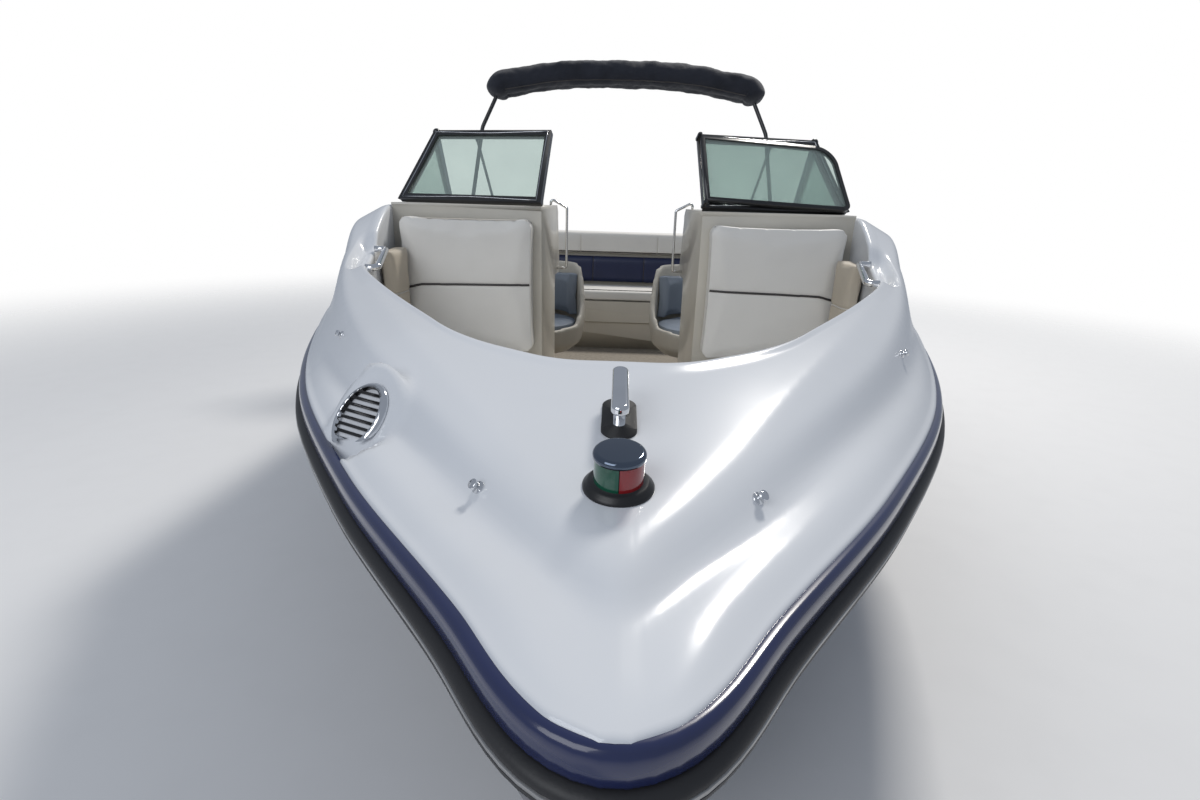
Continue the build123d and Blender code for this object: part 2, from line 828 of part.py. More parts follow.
def make_walkway_rails():
    """Thin rails from the dash top down beside the walkway to the console's side, one a side."""
    x = walkway_half - rail_inset
    y = dash_top_y - 60.0
    with BuildPart() as rails:
        with BuildLine() as path:
            FilletPolyline(
                (walkway_half + 30.0, y, windshield_base_z), (walkway_half + 30.0, y, windshield_base_z + 30.0),
                (x, y, windshield_base_z - 10.0), (x, y, rail_low_z), (walkway_half, y, rail_low_z),
                radius=rail_tube)
        with BuildSketch(Plane(origin=path.line @ 0, z_dir=path.line % 0)):
            Circle(rail_tube / 2.0)
        sweep()
        mirror(about=Plane.YZ)
    return rails


def make_bow_seat_cushions():
    """Bow seat cushions, one a side of the foot well, meeting at the bow."""
    with BuildPart() as cushions:
        with BuildSketch(Plane.XY.offset(bow_seat_z + seat_gap)):
            add(cockpit_plan(-cushion_inset, console_front_y - pad_thickness))
            with BuildLine():
                Polyline(*mirrored_plan([(x - cushion_inset, y - cushion_inset) for x, y in foot_well]),
                         close=True)
            make_face(mode=Mode.SUBTRACT)
            Rectangle(cushion_split, 3000.0, align=(Align.CENTER, Align.MAX), mode=Mode.SUBTRACT)
        extrude(amount=bow_cushion)
    return cushions


def make_bow_backrests():
    """Backrest pads on the console fronts, leaning back towards the windshield."""
    with BuildPart() as pads:
        with BuildSketch(Plane.XZ.offset(-(console_front_y - seat_gap))) as face:
            with Locations((walkway_half + 6.0 + pad_width / 2.0, (pad_bottom_z + pad_top_z) / 2.0)):
                RectangleRounded(pad_width, pad_top_z - pad_bottom_z, 46.0)
        extrude(amount=pad_thickness)
        mirror(about=Plane.YZ)
    return pads


def make_bow_bolsters():
    """Side bolsters in the corners between the backrests and the coaming."""
    with BuildPart() as bolsters:
        with BuildSketch(Plane.XY.offset(bolster_low_z)):
            with BuildLine():
                back = (coaming_edge(bolster_back_y)[0] - bolster_gap, bolster_back_y)
                front = (coaming_edge(bolster_front_y)[0] - bolster_gap, bolster_front_y)
                Polyline(back, (back[0] - bolster_width, back[1]),
                         (front[0] - bolster_width * 0.6, front[1] + 10.0), front, close=True)
            make_face()
        extrude(amount=bolster_top_z - bolster_low_z)
        mirror(about=Plane.YZ)
    return bolsters


def make_deck_stern():
    """Aft deck round the engine hatch and across the transom."""
    with BuildPart() as deck:
        with BuildSketch(Plane.XY.offset(sheer_z)):
            with Locations((0.0, bulkhead_y)):
                Rectangle(2.0 * cockpit_half, transom_y - bulkhead_y, align=(Align.CENTER, Align.MIN))
                Rectangle(2.0 * (hatch_half + running_gap), hatch_back_y + running_gap - bulkhead_y,
                          align=(Align.CENTER, Align.MIN), mode=Mode.SUBTRACT)
        extrude(amount=hatch_z - sheer_z)
        fillet(deck.edges().filter_by(Axis.X).group_by(Axis.Z)[-1].sort_by(Axis.Y)[-1], 40.0)
        for x in hinge_xs:
            for side in (-1.0, 1.0):
                with BuildSketch(Plane.YZ.offset(x + side * (hinge_width / 2.0 + 0.5))):
                    hinge_eye(hatch_hinge_y, hatch_hinge_z, hatch_z, pin_clearance)
                extrude(amount=side * 14.0)
    return deck


def hinge_eye(y, z, foot_z, clearance):
    """Eye of a hinge in side view, standing on its foot, with a hole that clears the pin."""
    with Locations((y, foot_z)):
        Rectangle(2.0 * hinge_radius, z - foot_z, align=(Align.CENTER, Align.MIN))
    with Locations((y, z)):
        Circle(hinge_radius)
        Circle(hinge_pin + clearance, mode=Mode.SUBTRACT)


def make_bench_base():
    """Moulded rear bench base with its toe recess and the bulkhead behind it."""
    with BuildPart() as base:
        with BuildSketch(Plane.YZ.offset(-bench_half)):
            with BuildLine():
                Polyline(
                    (bench_front_y + 40.0, sole_z), (bench_front_y + 12.0, sole_z + 200.0),
                    (bench_front_y, sole_z + 214.0), (bench_front_y, bench_top_z),
                    (backrest_y, bench_top_z), (backrest_y, hatch_z), (backrest_y + backrest_thickness, hatch_z),
                    (backrest_y + backrest_thickness, sole_z), close=True)
            make_face()
        extrude(amount=2.0 * bench_half)
    return base


def make_bench_cushion():
    with BuildPart() as cushion:
        with BuildSketch(Plane.XY.offset(bench_top_z + seat_gap)):
            with Locations((0.0, bench_front_y - 14.0)):
                Rectangle(2.0 * bench_half - 12.0, backrest_y - bench_front_y + 12.0,
                          align=(Align.CENTER, Align.MIN))
        extrude(amount=bench_cushion)
        fillet(cushion.faces().sort_by(Axis.Z)[-1].edges(), 26.0)
    return cushion


def make_rear_backrest(low, high, thickness):
    """Panel of the rear backrest between two heights, in front of its bulkhead."""
    with BuildPart() as pad:
        with BuildSketch(Plane.XZ.offset(-(backrest_y - seat_gap))):
            with Locations((0.0, low)):
                Rectangle(2.0 * bench_half - 12.0, high - low, align=(Align.CENTER, Align.MIN))
        extrude(amount=thickness)
        fillet(pad.edges().filter_by(Axis.X).group_by(Axis.Y)[0], 22.0)
    return pad


def make_backrest_cap():
    """White upper roll of the rear backrest, over the bulkhead's top."""
    low = backrest_split_z + seat_gap
    back = backrest_y + backrest_thickness
    with BuildPart() as cap:
        with BuildSketch(Plane.YZ.offset(-bench_half + 6.0)):
            with BuildLine():
                Polyline(
                    (backrest_y - backrest_pad, low), (backrest_y - backrest_pad, backrest_top_z),
                    (back, backrest_top_z), (back, hatch_z + seat_gap), (backrest_y - seat_gap, hatch_z + seat_gap),
                    (backrest_y - seat_gap, low), close=True)
            make_face()
        extrude(amount=2.0 * bench_half - 12.0)
        fillet(cap.edges().filter_by(Axis.X).group_by(Axis.Z)[-1], 36.0)
    return cap


def make_engine_hatch():
    """Lid over the engine bay, flush with the aft deck, with its two hinge knuckles."""
    with BuildPart() as hatch:
        with BuildSketch(Plane.XY.offset(hatch_z - hatch_thickness)):
            with Locations((0.0, hatch_front_y)):
                Rectangle(2.0 * hatch_half, hatch_back_y - hatch_front_y, align=(Align.CENTER, Align.MIN))
        extrude(amount=hatch_thickness)
        with BuildSketch(Plane.XY.offset(hatch_z - hatch_thickness)):
            with Locations((0.0, hatch_front_y + 60.0)):
                Rectangle(2.0 * hatch_half - 120.0, hatch_back_y - hatch_front_y - 120.0,
                          align=(Align.CENTER, Align.MIN))
        extrude(amount=hatch_thickness - 16.0, mode=Mode.SUBTRACT)
        for x in hinge_xs:
            with BuildSketch(Plane.YZ.offset(x - hinge_width / 2.0)):
                with Locations((hatch_back_y - 46.0, hatch_z)):
                    Rectangle(46.0, 4.0, align=(Align.MIN, Align.MIN))
                with BuildLine():
                    Polyline((hatch_back_y - 6.0, hatch_z), (hatch_back_y - 6.0, hatch_z + 4.0),
                             (hatch_hinge_y, hatch_hinge_z + 6.0), (hatch_hinge_y, hatch_hinge_z - 6.0),
                             (hatch_back_y, hatch_z), close=True)
                make_face()
                with Locations((hatch_hinge_y, hatch_hinge_z)):
                    Circle(hinge_radius - 1.0)
            extrude(amount=hinge_width)
            with BuildSketch(Plane.YZ.offset(x - hinge_width / 2.0 - 15.0)):
                with Locations((hatch_hinge_y, hatch_hinge_z)):
                    Circle(hinge_pin)
            extrude(amount=hinge_width + 30.0)
    return hatch


def make_sunpad():
    with BuildPart() as pad:
        with BuildSketch(Plane.XY.offset(hatch_z + seat_gap)):
            with Locations((0.0, hatch_front_y + 8.0)):
                Rectangle(2.0 * hatch_half - 24.0, hatch_back_y - hatch_front_y - 60.0,
                          align=(Align.CENTER, Align.MIN))
        extrude(amount=sunpad_thickness)
        fillet(pad.faces().sort_by(Axis.Z)[-1].edges(), 26.0)
    return pad


def make_engine():
    with BuildPart() as engine:
        with Locations((0.0, engine_y, engine_z)):
            Box(620.0, 560.0, 640.0)
        chamfer(engine.edges().filter_by(Axis.Y), 90.0)
        with Locations((0.0, (engine_y + 280.0 + transom_y - hull_wall) / 2.0, drive_z)):
            Box(240.0, transom_y - hull_wall - engine_y - 280.0, 240.0)
    return engine


def make_platform():
    """Swim platform moulded on the transom, with its two brackets."""
    with BuildPart() as platform:
        with BuildSketch(Plane.XY.offset(platform_z)) as plan:
            with Locations((0.0, transom_y)):
                Rectangle(2.0 * platform_half, platform_end_y - transom_y, align=(Align.CENTER, Align.MIN))
            fillet(plan.vertices().group_by(Axis.Y)[-1], 130.0)
        extrude(amount=platform_thickness)
        for x in (-640.0, 640.0):
            with BuildSketch(Plane.YZ.offset(x - 20.0)):
                with BuildLine():
                    Polyline((transom_y, platform_z), (transom_y, platform_z - 180.0),
                             (platform_end_y - 180.0, platform_z), close=True)
                make_face()
            extrude(amount=40.0)
    return platform


def make_ladder():
    """Folding boarding ladder: two rails and three treads, stowed flat on the platform."""
    z = platform_z + platform_thickness + ladder_tube / 2.0 + running_gap
    with BuildPart() as ladder:
        for side in (-1.0, 1.0):
            with BuildSketch(Plane.XZ.offset(-ladder_pivot_y)):
                with Locations((-ladder_x + side * ladder_width / 2.0, z)):
                    Circle(ladder_tube / 2.0)
            extrude(amount=ladder_length)
        for step in range(3):
            with Locations((-ladder_x, ladder_pivot_y - 100.0 - step * (ladder_length - 120.0) / 2.0, z)):
                Box(ladder_width, 46.0, 16.0)
        with BuildSketch(Plane.YZ.offset(-ladder_x - ladder_width / 2.0 - 30.0)):
            with Locations((ladder_pivot_y, z)):
                Circle(ladder_tube / 2.0 - 3.0)
        extrude(amount=ladder_width + 60.0)
    return ladder


def make_ladder_brackets():
    """Eyes on the platform's aft edge that hold the ladder's hinge pin."""
    pin_z = platform_z + platform_thickness + ladder_tube / 2.0 + running_gap
    with BuildPart() as brackets:
        for side in (-1.0, 1.0):
            x = -ladder_x + side * (ladder_width / 2.0 + 24.0)
            with BuildSketch(Plane.YZ.offset(x - 5.0)):
                with Locations((platform_end_y, platform_z + 20.0)):
                    Rectangle(ladder_pivot_y - platform_end_y + 18.0, pin_z - platform_z - 20.0,
                              align=(Align.MIN, Align.MIN))
                with Locations((ladder_pivot_y, pin_z)):
                    Circle(18.0)
                    Circle(ladder_tube / 2.0 - 3.0 + pin_clearance, mode=Mode.SUBTRACT)
            extrude(amount=10.0)
    return brackets


def make_transom_shield():
    """Plate on the transom and the two forks that hold the drive's swivel pins."""
    fork = swivel_fork
    with BuildPart() as shield:
        with BuildSketch(Plane.XZ.offset(-transom_y)):
            with Locations((0.0, drive_z + 10.0)):
                RectangleRounded(330.0, 440.0, 90.0)
        extrude(amount=-shield_thickness)
        for z in (drive_z - gimbal_half - running_gap - fork, drive_z + gimbal_half + running_gap):
            with BuildSketch(Plane.XY.offset(z)):
                with Locations((0.0, transom_y + shield_thickness)):
                    Rectangle(90.0, steer_y - transom_y - shield_thickness, align=(Align.CENTER, Align.MIN))
                with Locations((0.0, steer_y)):
                    Circle(45.0)
                    Circle(pin_radius + pin_clearance, mode=Mode.SUBTRACT)
            extrude(amount=fork)
    return shield


def make_gimbal():
    """Steering ring: swivel pins above and below, and bores across for the trim pins."""
    reach = gimbal_half + running_gap + swivel_fork
    with BuildPart() as gimbal:
        with BuildSketch(Plane.XZ.offset(-steer_y - gimbal_depth / 2.0)):
            with Locations((0.0, drive_z)):
                RectangleRounded(2.0 * gimbal_width, 2.0 * gimbal_half, 50.0)
                RectangleRounded(2.0 * (gimbal_width - gimbal_wall), 2.0 * (gimbal_half - gimbal_wall), 26.0,
                                 mode=Mode.SUBTRACT)
        extrude(amount=gimbal_depth)
        for z in (drive_z + gimbal_half - gimbal_wall, drive_z - reach):
            with BuildSketch(Plane.XY.offset(z)):
                with Locations((0.0, steer_y)):
                    Circle(pin_radius)
            extrude(amount=reach - gimbal_half + gimbal_wall)
        with BuildSketch(Plane.YZ.offset(-2.0 * gimbal_width)):
            with Locations((steer_y, drive_z)):
                Circle(pin_radius + pin_clearance)
        extrude(amount=4.0 * gimbal_width, mode=Mode.SUBTRACT)
    return gimbal


def drive_sheet(points, half_width):
    """Piece of the drive from its side view; points are (aft, up) from the trim pin."""
    with BuildPart() as sheet:
        with BuildSketch(Plane.YZ.offset(-half_width)):
            with BuildLine():
                Polyline(*[(steer_y + y, drive_z + z) for y, z in points], close=True)
            make_face()
        extrude(amount=2.0 * half_width)
    return sheet.part


def make_drive_leg():
    """Sterndrive leg: yoke, upper gearcase, slim strut, plate, torpedo and skeg."""
    ear = gimbal_width + running_gap
    with BuildPart() as leg:
        add(drive_sheet([(100, -60), (100, 50), (170, 60), (170, -120)], ear + yoke_thickness))
        add(drive_sheet([(120, -190), (120, 40), (190, 128), (262, 118), (330, 50), (330, -190)], 74.0))
        add(drive_sheet([(150, -360), (128, -190), (330, -190), (352, -360)], 46.0))
        add(drive_sheet([(165, -prop_drop + 30.0), (150, -360), (356, -360), (372, -prop_drop + 30.0)], 27.0))
        add(drive_sheet([(210, -prop_drop - 40.0), (262, -prop_drop - 186.0), (348, -prop_drop - 196.0),
                         (378, -prop_drop - 40.0)], 7.0))
        for side in (-1.0, 1.0):
            with BuildSketch(Plane.YZ.offset(side * ear)):
                with Locations((steer_y, drive_z)):
                    Circle(34.0)
                    Rectangle(120.0, 56.0, align=(Align.MIN, Align.CENTER))
            extrude(amount=side * yoke_thickness)
            with BuildSketch(Plane.YZ.offset(side * (ear + yoke_thickness))):
                with Locations((steer_y, drive_z)):
                    Circle(pin_radius)
            extrude(amount=-side * (running_gap + yoke_thickness + gimbal_wall - 4.0))
        with BuildSketch(Plane.XY.offset(drive_z - plate_drop)):
            with BuildLine():
                Polyline((-60.0, steer_y + 70.0), (-118.0, steer_y + 200.0), (-118.0, steer_y + 470.0),
                         (-70.0, steer_y + 500.0), (70.0, steer_y + 500.0), (118.0, steer_y + 470.0),
                         (118.0, steer_y + 200.0), (60.0, steer_y + 70.0), close=True)
            make_face()
        extrude(amount=10.0)
        with BuildSketch(Plane.YZ):
            with BuildLine():
                base = drive_z - prop_drop
                Polyline((steer_y + hub_start, base), (steer_y + 96.0, base), (steer_y + 118.0, base + 26.0),
                         (steer_y + 170.0, base + 46.0), (steer_y + 240.0, base + 54.0),
                         (steer_y + hub_start - 12.0, base + 48.0), (steer_y + hub_start - 12.0, base + shaft_radius),
                         (steer_y + hub_start, base + shaft_radius), close=True)
            make_face()
        revolve(axis=Axis((0.0, 0.0, drive_z - prop_drop), (0.0, 1.0, 0.0)))
        with BuildSketch(Plane.XZ.offset(-(steer_y + hub_start - 20.0))):
            with Locations((0.0, drive_z - prop_drop)):
                Circle(shaft_radius)
        extrude(amount=-(hub_length + 20.0))
    return leg


def make_propeller():
    """Three-bladed propeller; each blade is a twisted sheet rooted in the hub."""
    with BuildPart() as propeller:
        with BuildSketch(Plane.XZ.offset(-(steer_y + hub_start + 4.0))):
            with Locations((0.0, drive_z - prop_drop)):
                Circle(hub_radius)
                Circle(shaft_radius + pin_clearance, mode=Mode.SUBTRACT)
        extrude(amount=-hub_length)
        for blade in range(3):
            add(make_blade(blade * 120.0))
    return propeller


def make_blade(turn):
    """Blade as a loft of flat sections that untwist and round off towards the tip."""
    middle = steer_y + hub_start + 4.0 + hub_length / 2.0
    with BuildPart() as blade:
        for reach, chord, pitch_angle, thickness in blade_table:
            with BuildSketch(Plane(origin=(reach, 0.0, 0.0), x_dir=(0.0, math.sin(math.radians(pitch_angle)),
                                                                   math.cos(math.radians(pitch_angle))),
                                   z_dir=(1.0, 0.0, 0.0))):
                Rectangle(chord, thickness)
        loft(ruled=True)
    turned = Rot(0.0, turn, 0.0) * blade.part
    return Pos(0.0, middle, drive_z - prop_drop) * turned


def make_seat_shell(side):
    """Bucket seat shell, high at the back and low at the knees, with its swivel stub."""
    middle = (side * seat_x, seat_y)
    with BuildPart() as shell:
        with BuildSketch(Plane(origin=(middle[0], middle[1], 0.0), x_dir=(1.0, 0.0, 0.0), z_dir=(0.0, -1.0, 0.0))):
            with BuildLine():
                Polyline(
                    (0.0, seat_bottom_z), (seat_radius * 0.68, seat_bottom_z),
                    (seat_radius * 0.93, seat_bottom_z + 60.0), (seat_radius, seat_bottom_z + 170.0),
                    (seat_radius, seat_top_z), (seat_radius - seat_wall, seat_top_z),
                    (seat_radius - seat_wall, seat_pan_z), (0.0, seat_pan_z), close=True)
            make_face()
        revolve(axis=Axis((middle[0], middle[1], 0.0), (0.0, 0.0, 1.0)))
        with BuildSketch(Plane.YZ.offset(middle[0] - seat_radius - 10.0)):
            with BuildLine():
                Polyline(
                    (seat_y - seat_radius - 10.0, seat_front_z), (seat_y - 130.0, seat_front_z + 14.0),
                    (seat_y - 10.0, seat_front_z + 120.0), (seat_y + 110.0, seat_top_z - 40.0),
                    (seat_y + 180.0, seat_top_z + 1.0), (seat_y - seat_radius - 10.0, seat_top_z + 1.0), close=True)
            make_face()
        extrude(amount=2.0 * seat_radius + 20.0, mode=Mode.SUBTRACT)
        with BuildSketch(Plane.XY.offset(seat_bottom_z - running_gap - stub_length)):
            with Locations(middle):
                Circle(stub_radius)
        extrude(amount=stub_length + running_gap)
    return shell


def make_seat_cushion(side):
    """Seat and back cushions of a bucket seat, as two plain pads."""
    middle = (side * seat_x, seat_y)
    reach = seat_radius - seat_wall - seat_gap - 2.0
    with BuildPart() as pads:
        with BuildSketch(Plane.XY.offset(seat_pan_z + seat_gap)):
            with Locations(middle):
                Circle(reach)
        extrude(amount=seat_cushion)
        with BuildSketch(Plane.XY.offset(seat_pan_z + 2.0 * seat_gap + seat_cushion)) as back:
            with Locations(middle):
                Circle(reach)
                Circle(reach - 66.0, mode=Mode.SUBTRACT)
            with Locations((middle[0], middle[1] + 70.0)):
                Rectangle(3.0 * seat_radius, 3.0 * seat_radius, align=(Align.CENTER, Align.MAX),
                          mode=Mode.SUBTRACT)
        extrude(amount=seat_top_z - 60.0 - seat_pan_z - seat_cushion)
    return pads


def make_seat_pedestals():
    """Seat posts on the sole, each with a socket for its seat's stub."""
    top = seat_bottom_z - running_gap
    with BuildPart() as posts:
        for side in (-1.0, 1.0):
            with BuildSketch(Plane.XY.offset(sole_z)):
                with Locations((side * seat_x, seat_y)):
                    Circle(150.0)
            extrude(amount=14.0)
            with BuildSketch(Plane.XY.offset(sole_z)):
                with Locations((side * seat_x, seat_y)):
                    Circle(pedestal_radius)
            extrude(amount=top - sole_z)
            with BuildSketch(Plane.XY.offset(top - stub_length - 4.0)):
                with Locations((side * seat_x, seat_y)):
                    Circle(stub_radius + pin_clearance)
            extrude(amount=stub_length + 5.0, mode=Mode.SUBTRACT)
    return posts


def side_deck_z(y, x):
    """Height of the side deck at a station and distance off the centreline."""
    row = fair(side_table, y)
    knots = [(cockpit_half, row[2]), (row[1], row[2]), (row[3], row[4]), (row[5], row[6])]
    for (x0, z0), (x1, z1) in zip(knots, knots[1:]):
        if x <= x1:
            return z0 + (z1 - z0) * (x - x0) / (x1 - x0)
    return row[6]


def bow_point(half, reach):
    """Point of the top's main bow from its half breadth and distance up the bow."""
    lean = math.radians(top_lean)
    return (half, top_y + reach * math.sin(lean), top_pivot_z() + reach * math.cos(lean))


def top_pivot_z():
    return side_deck_z(top_y, top_x) + top_lift


def make_top_frame():
    """Main bow of the folding top, one bent tube from side to side, with its pivot eyes."""
    half = [bow_point(x, reach) for x, reach in bow_table]
    points = [(-x, y, z) for x, y, z in half[:-1]] + list(reversed(half))
    with BuildPart() as frame:
        with BuildLine() as path:
            FilletPolyline(*points, radius=bow_radius)
        with BuildSketch(Plane(origin=path.line @ 0, z_dir=path.line % 0)):
            Circle(top_tube / 2.0)
        sweep()
        for side in (-1.0, 1.0):
            with BuildSketch(Plane.YZ.offset(side * top_x - 11.0)):
                with Locations((top_y, top_pivot_z())):
                    Circle(17.0)
            extrude(amount=22.0)
            with BuildSketch(Plane.YZ.offset(side * top_x - 24.0)):
                with Locations((top_y, top_pivot_z())):
                    Circle(top_pin_radius)
            extrude(amount=48.0)
            x, y, z = bow_point(brace_x(), brace_reach)
            with BuildSketch(Plane.YZ.offset(side * x)):
                with Locations((y, z)):
                    Circle(top_pin_radius)
            extrude(amount=side * (brace_offset + 11.0))
    return frame


def brace_x():
    """Half breadth of the main bow where the brace is pinned."""
    (x0, s0), (x1, s1) = bow_table[0], bow_table[1]
    return x0 + (x1 - x0) * (brace_reach - s0) / (s1 - s0)


def make_top_boot(frame):
    """Rolled canopy in its boot, along the upper arch of the bow."""
    half = [bow_point(x, reach) for x, reach in [boot_end] + bow_table[2:]]
    points = [(-x, y, z) for x, y, z in half[:-1]] + list(reversed(half))
    with BuildPart() as boot:
        with BuildLine() as path:
            FilletPolyline(*points, radius=bow_radius)
        with BuildSketch(Plane(origin=path.line @ 0, x_dir=(0.0, 1.0, 0.0), z_dir=path.line % 0)):
            RectangleRounded(boot_width, boot_height, 70.0)
        sweep()
        add(frame, mode=Mode.SUBTRACT)
    return boot


def make_top_braces():
    """Rear braces of the top, each pinned to the bow and standing on its foot on the side deck."""
    x = brace_x() + brace_offset
    top = bow_point(x, brace_reach)
    foot = (x, brace_foot_y, side_deck_z(brace_foot_y, x) + top_lift)
    with BuildPart() as braces:
        with BuildLine() as path:
            Line(foot, top)
        with BuildSketch(Plane(origin=foot, z_dir=path.line % 0)):
            Circle(brace_tube / 2.0)
        sweep()
        for y, z in (top[1:], foot[1:]):
            with BuildSketch(Plane.YZ.offset(x - 8.0)):
                with Locations((y, z)):
                    Circle(15.0)
            extrude(amount=16.0)
        with BuildSketch(Plane.YZ.offset(x - 14.0)):
            with Locations(top[1:]):
                Circle(top_pin_radius + pin_clearance)
        extrude(amount=28.0, mode=Mode.SUBTRACT)
        mirror(about=Plane.YZ)
    return braces


def make_top_mounts(deck):
    """Deck hinges of the top's main bow and the forks that its braces stand in."""
    with BuildPart() as mounts:
        for x, y, hole in ((top_x, top_y, top_pin_radius + pin_clearance),
                           (brace_x() + brace_offset, brace_foot_y, top_pin_radius)):
            z = side_deck_z(y, x)
            for offset_x in (-22.0, 16.0):
                with BuildSketch(Plane.YZ.offset(x + offset_x)):
                    with Locations((y, z - 12.0)):
                        Rectangle(36.0, top_lift + 12.0, align=(Align.CENTER, Align.MIN))
                    with Locations((y, z + top_lift)):
                        Circle(18.0)
                        Circle(hole, mode=Mode.SUBTRACT)
                extrude(amount=6.0)
            with Locations((x, y, z - 20.0)):
                Box(60.0, 62.0, 26.0, align=(Align.CENTER, Align.CENTER, Align.MIN))
        mirror(about=Plane.YZ)
        add(deck, mode=Mode.SUBTRACT)
    return mounts


def foredeck_z(y):
    """Height of the foredeck on the centreline, between the stations of its loft."""
    for y0, y1 in zip(deck_stations, deck_stations[1:]):
        if y <= y1:
            z0, z1 = fair(deck_table, y0)[2], fair(deck_table, y1)[2]
            return z0 + (z1 - z0) * (y - y0) / (y1 - y0)
    return fair(deck_table, deck_stations[-1])[2]


def foredeck_plane(y):
    """Plane on the foredeck's centre; x to port, y along the deck aft, z out of the deck."""
    along = Vector(0.0, 20.0, foredeck_z(y + 10.0) - foredeck_z(y - 10.0)).normalized()
    normal = Vector(1.0, 0.0, 0.0).cross(along)
    return Plane(origin=(0.0, y, foredeck_z(y)), x_dir=(1.0, 0.0, 0.0), z_dir=normal)


def shoulder_plane(y, side, share, spread=10.0):
    """Plane between two edges of the foredeck: share 0 is the shoulder, 1 the ledge, 2 the rim."""
    def place(station):
        for y0, y1 in zip(deck_stations, deck_stations[1:]):
            if station <= y1:
                t = (station - y0) / (y1 - y0)
                knots = []
                for s in (y0, y1):
                    row = fair(deck_table, s)
                    knots.append([(row[3], row[4]), (row[5], row[6]), (rim_half(s), rim_z)])
                a, b = ([(p[0] + (q[0] - p[0]) * t, p[1] + (q[1] - p[1]) * t)
                         for p, q in zip(*knots)][int(share):][:2])
                part = share - int(share)
                return (Vector(side * (a[0] + (b[0] - a[0]) * part), station, a[1] + (b[1] - a[1]) * part),
                        Vector(side * (b[0] - a[0]), 0.0, b[1] - a[1]))
    point, across = place(y)
    along = place(y + spread)[0] - place(y - spread)[0]
    normal = across.cross(along)
    if normal.Z < 0.0:
        normal = -normal
    return Plane(origin=point, x_dir=along.normalized(), z_dir=normal.normalized())


def make_lamp_base(deck):
    """Flared base of the bow light, seated on the deck."""
    plane = foredeck_plane(lamp_y)
    with BuildPart() as base:
        with BuildSketch(plane.offset(-8.0)):
            Circle(lamp_base_radius)
        extrude(amount=20.0)
        chamfer(base.faces().sort_by(Axis.Z)[-1].edges(), 8.0)
        with BuildSketch(plane.offset(10.0)):
            Circle(lamp_radius - 5.0)
        extrude(amount=lamp_lens_z - 10.0)
        add(deck, mode=Mode.SUBTRACT)
    return base


def make_lamp_lenses(core):
    """Red port and green starboard halves of the bow light's lens."""
    plane = foredeck_plane(lamp_y)
    with BuildPart() as lens:
        with BuildSketch(plane.offset(12.0)):
            Circle(lamp_radius)
            Circle(lamp_radius - 5.0, mode=Mode.SUBTRACT)
            Rectangle(1.0, 3.0 * lamp_radius, mode=Mode.SUBTRACT)
        extrude(amount=lamp_lens_z - 12.0)
        add(core, mode=Mode.SUBTRACT)
    return lens


def make_lamp_cap():
    """Domed cap over the bow light's lens."""
    plane = foredeck_plane(lamp_y)
    with BuildPart() as cap:
        with BuildSketch(plane.offset(lamp_lens_z)):
            Circle(lamp_radius + 2.0)
        extrude(amount=9.0)
        fillet(cap.faces().sort_by(Axis.Z)[-1].edges(), 6.0)
    return cap


def make_bow_cleat(deck):
    """Raised pull-up cleat: its gasket plate, its guide block and its horns."""
    plane = foredeck_plane(cleat_y)
    with BuildPart() as cleat:
        with BuildSketch(plane.offset(-8.0)):
            SlotOverall(128.0, 54.0, rotation=90.0)
        extrude(amount=14.0)
        for y in (-22.0, 22.0):
            with BuildSketch(plane):
                with Locations((0.0, y)):
                    Circle(9.0)
            extrude(amount=52.0)
        with BuildSketch(plane.offset(44.0)):
            SlotOverall(cleat_length, 26.0, rotation=90.0)
        extrude(amount=16.0)
        fillet(cleat.faces().sort_by(Axis.Z)[-1].edges(), 6.0)
        add(deck, mode=Mode.SUBTRACT)
    return cleat


def grille_plane():
    """Plane of the horn grille on the starboard ledge; its x runs up the grille."""
    seat = shoulder_plane(grille_y, -1.0, 1.28, 60.0)
    normal = Vector(*grille_facing).normalized()
    up = (Vector(0.0, 0.0, 1.0) - normal * normal.Z).normalized()
    return Plane(origin=seat.origin + normal * grille_rise, x_dir=up, z_dir=normal)


def make_grille(deck):
    """Oval horn grille: domed ring, dark tray and slats, set in its boss on the ledge."""
    plane = grille_plane()
    with BuildPart() as grille:
        with BuildSketch(plane.offset(-8.0)):
            Ellipse(grille_length / 2.0, grille_width / 2.0)
        extrude(amount=17.0)
        chamfer(grille.faces().sort_by(Axis(plane.origin, plane.z_dir))[-1].edges(), 5.0)
        with BuildSketch(plane.offset(-2.0)):
            Ellipse(grille_length / 2.0 - grille_ring, grille_width / 2.0 - grille_ring)
        extrude(amount=14.0, mode=Mode.SUBTRACT)
        with BuildSketch(plane.offset(-2.5)):
            with GridLocations(grille_pitch, 0.0, grille_slats, 1):
                Rectangle(grille_pitch * 0.42, grille_width)
            Ellipse(grille_length / 2.0 - grille_ring + 0.5, grille_width / 2.0 - grille_ring + 0.5,
                    mode=Mode.INTERSECT)
        extrude(amount=6.0)
        add(deck, mode=Mode.SUBTRACT)
    return grille


def make_cover_studs(deck):
    """Knobs on the deck's shoulder that hold the bow cover."""
    with BuildPart() as studs:
        for side in (-1.0, 1.0):
            for y in stud_ys:
                plane = shoulder_plane(y, side, 0.5)
                for z, length, radius in ((-5.0, 8.0, stud_radius), (3.0, 5.0, stud_radius * 0.5),
                                          (8.0, 6.0, stud_radius * 0.8)):
                    with BuildSketch(plane.offset(z)):
                        Circle(radius)
                    extrude(amount=length)
        add(deck, mode=Mode.SUBTRACT)
    return studs


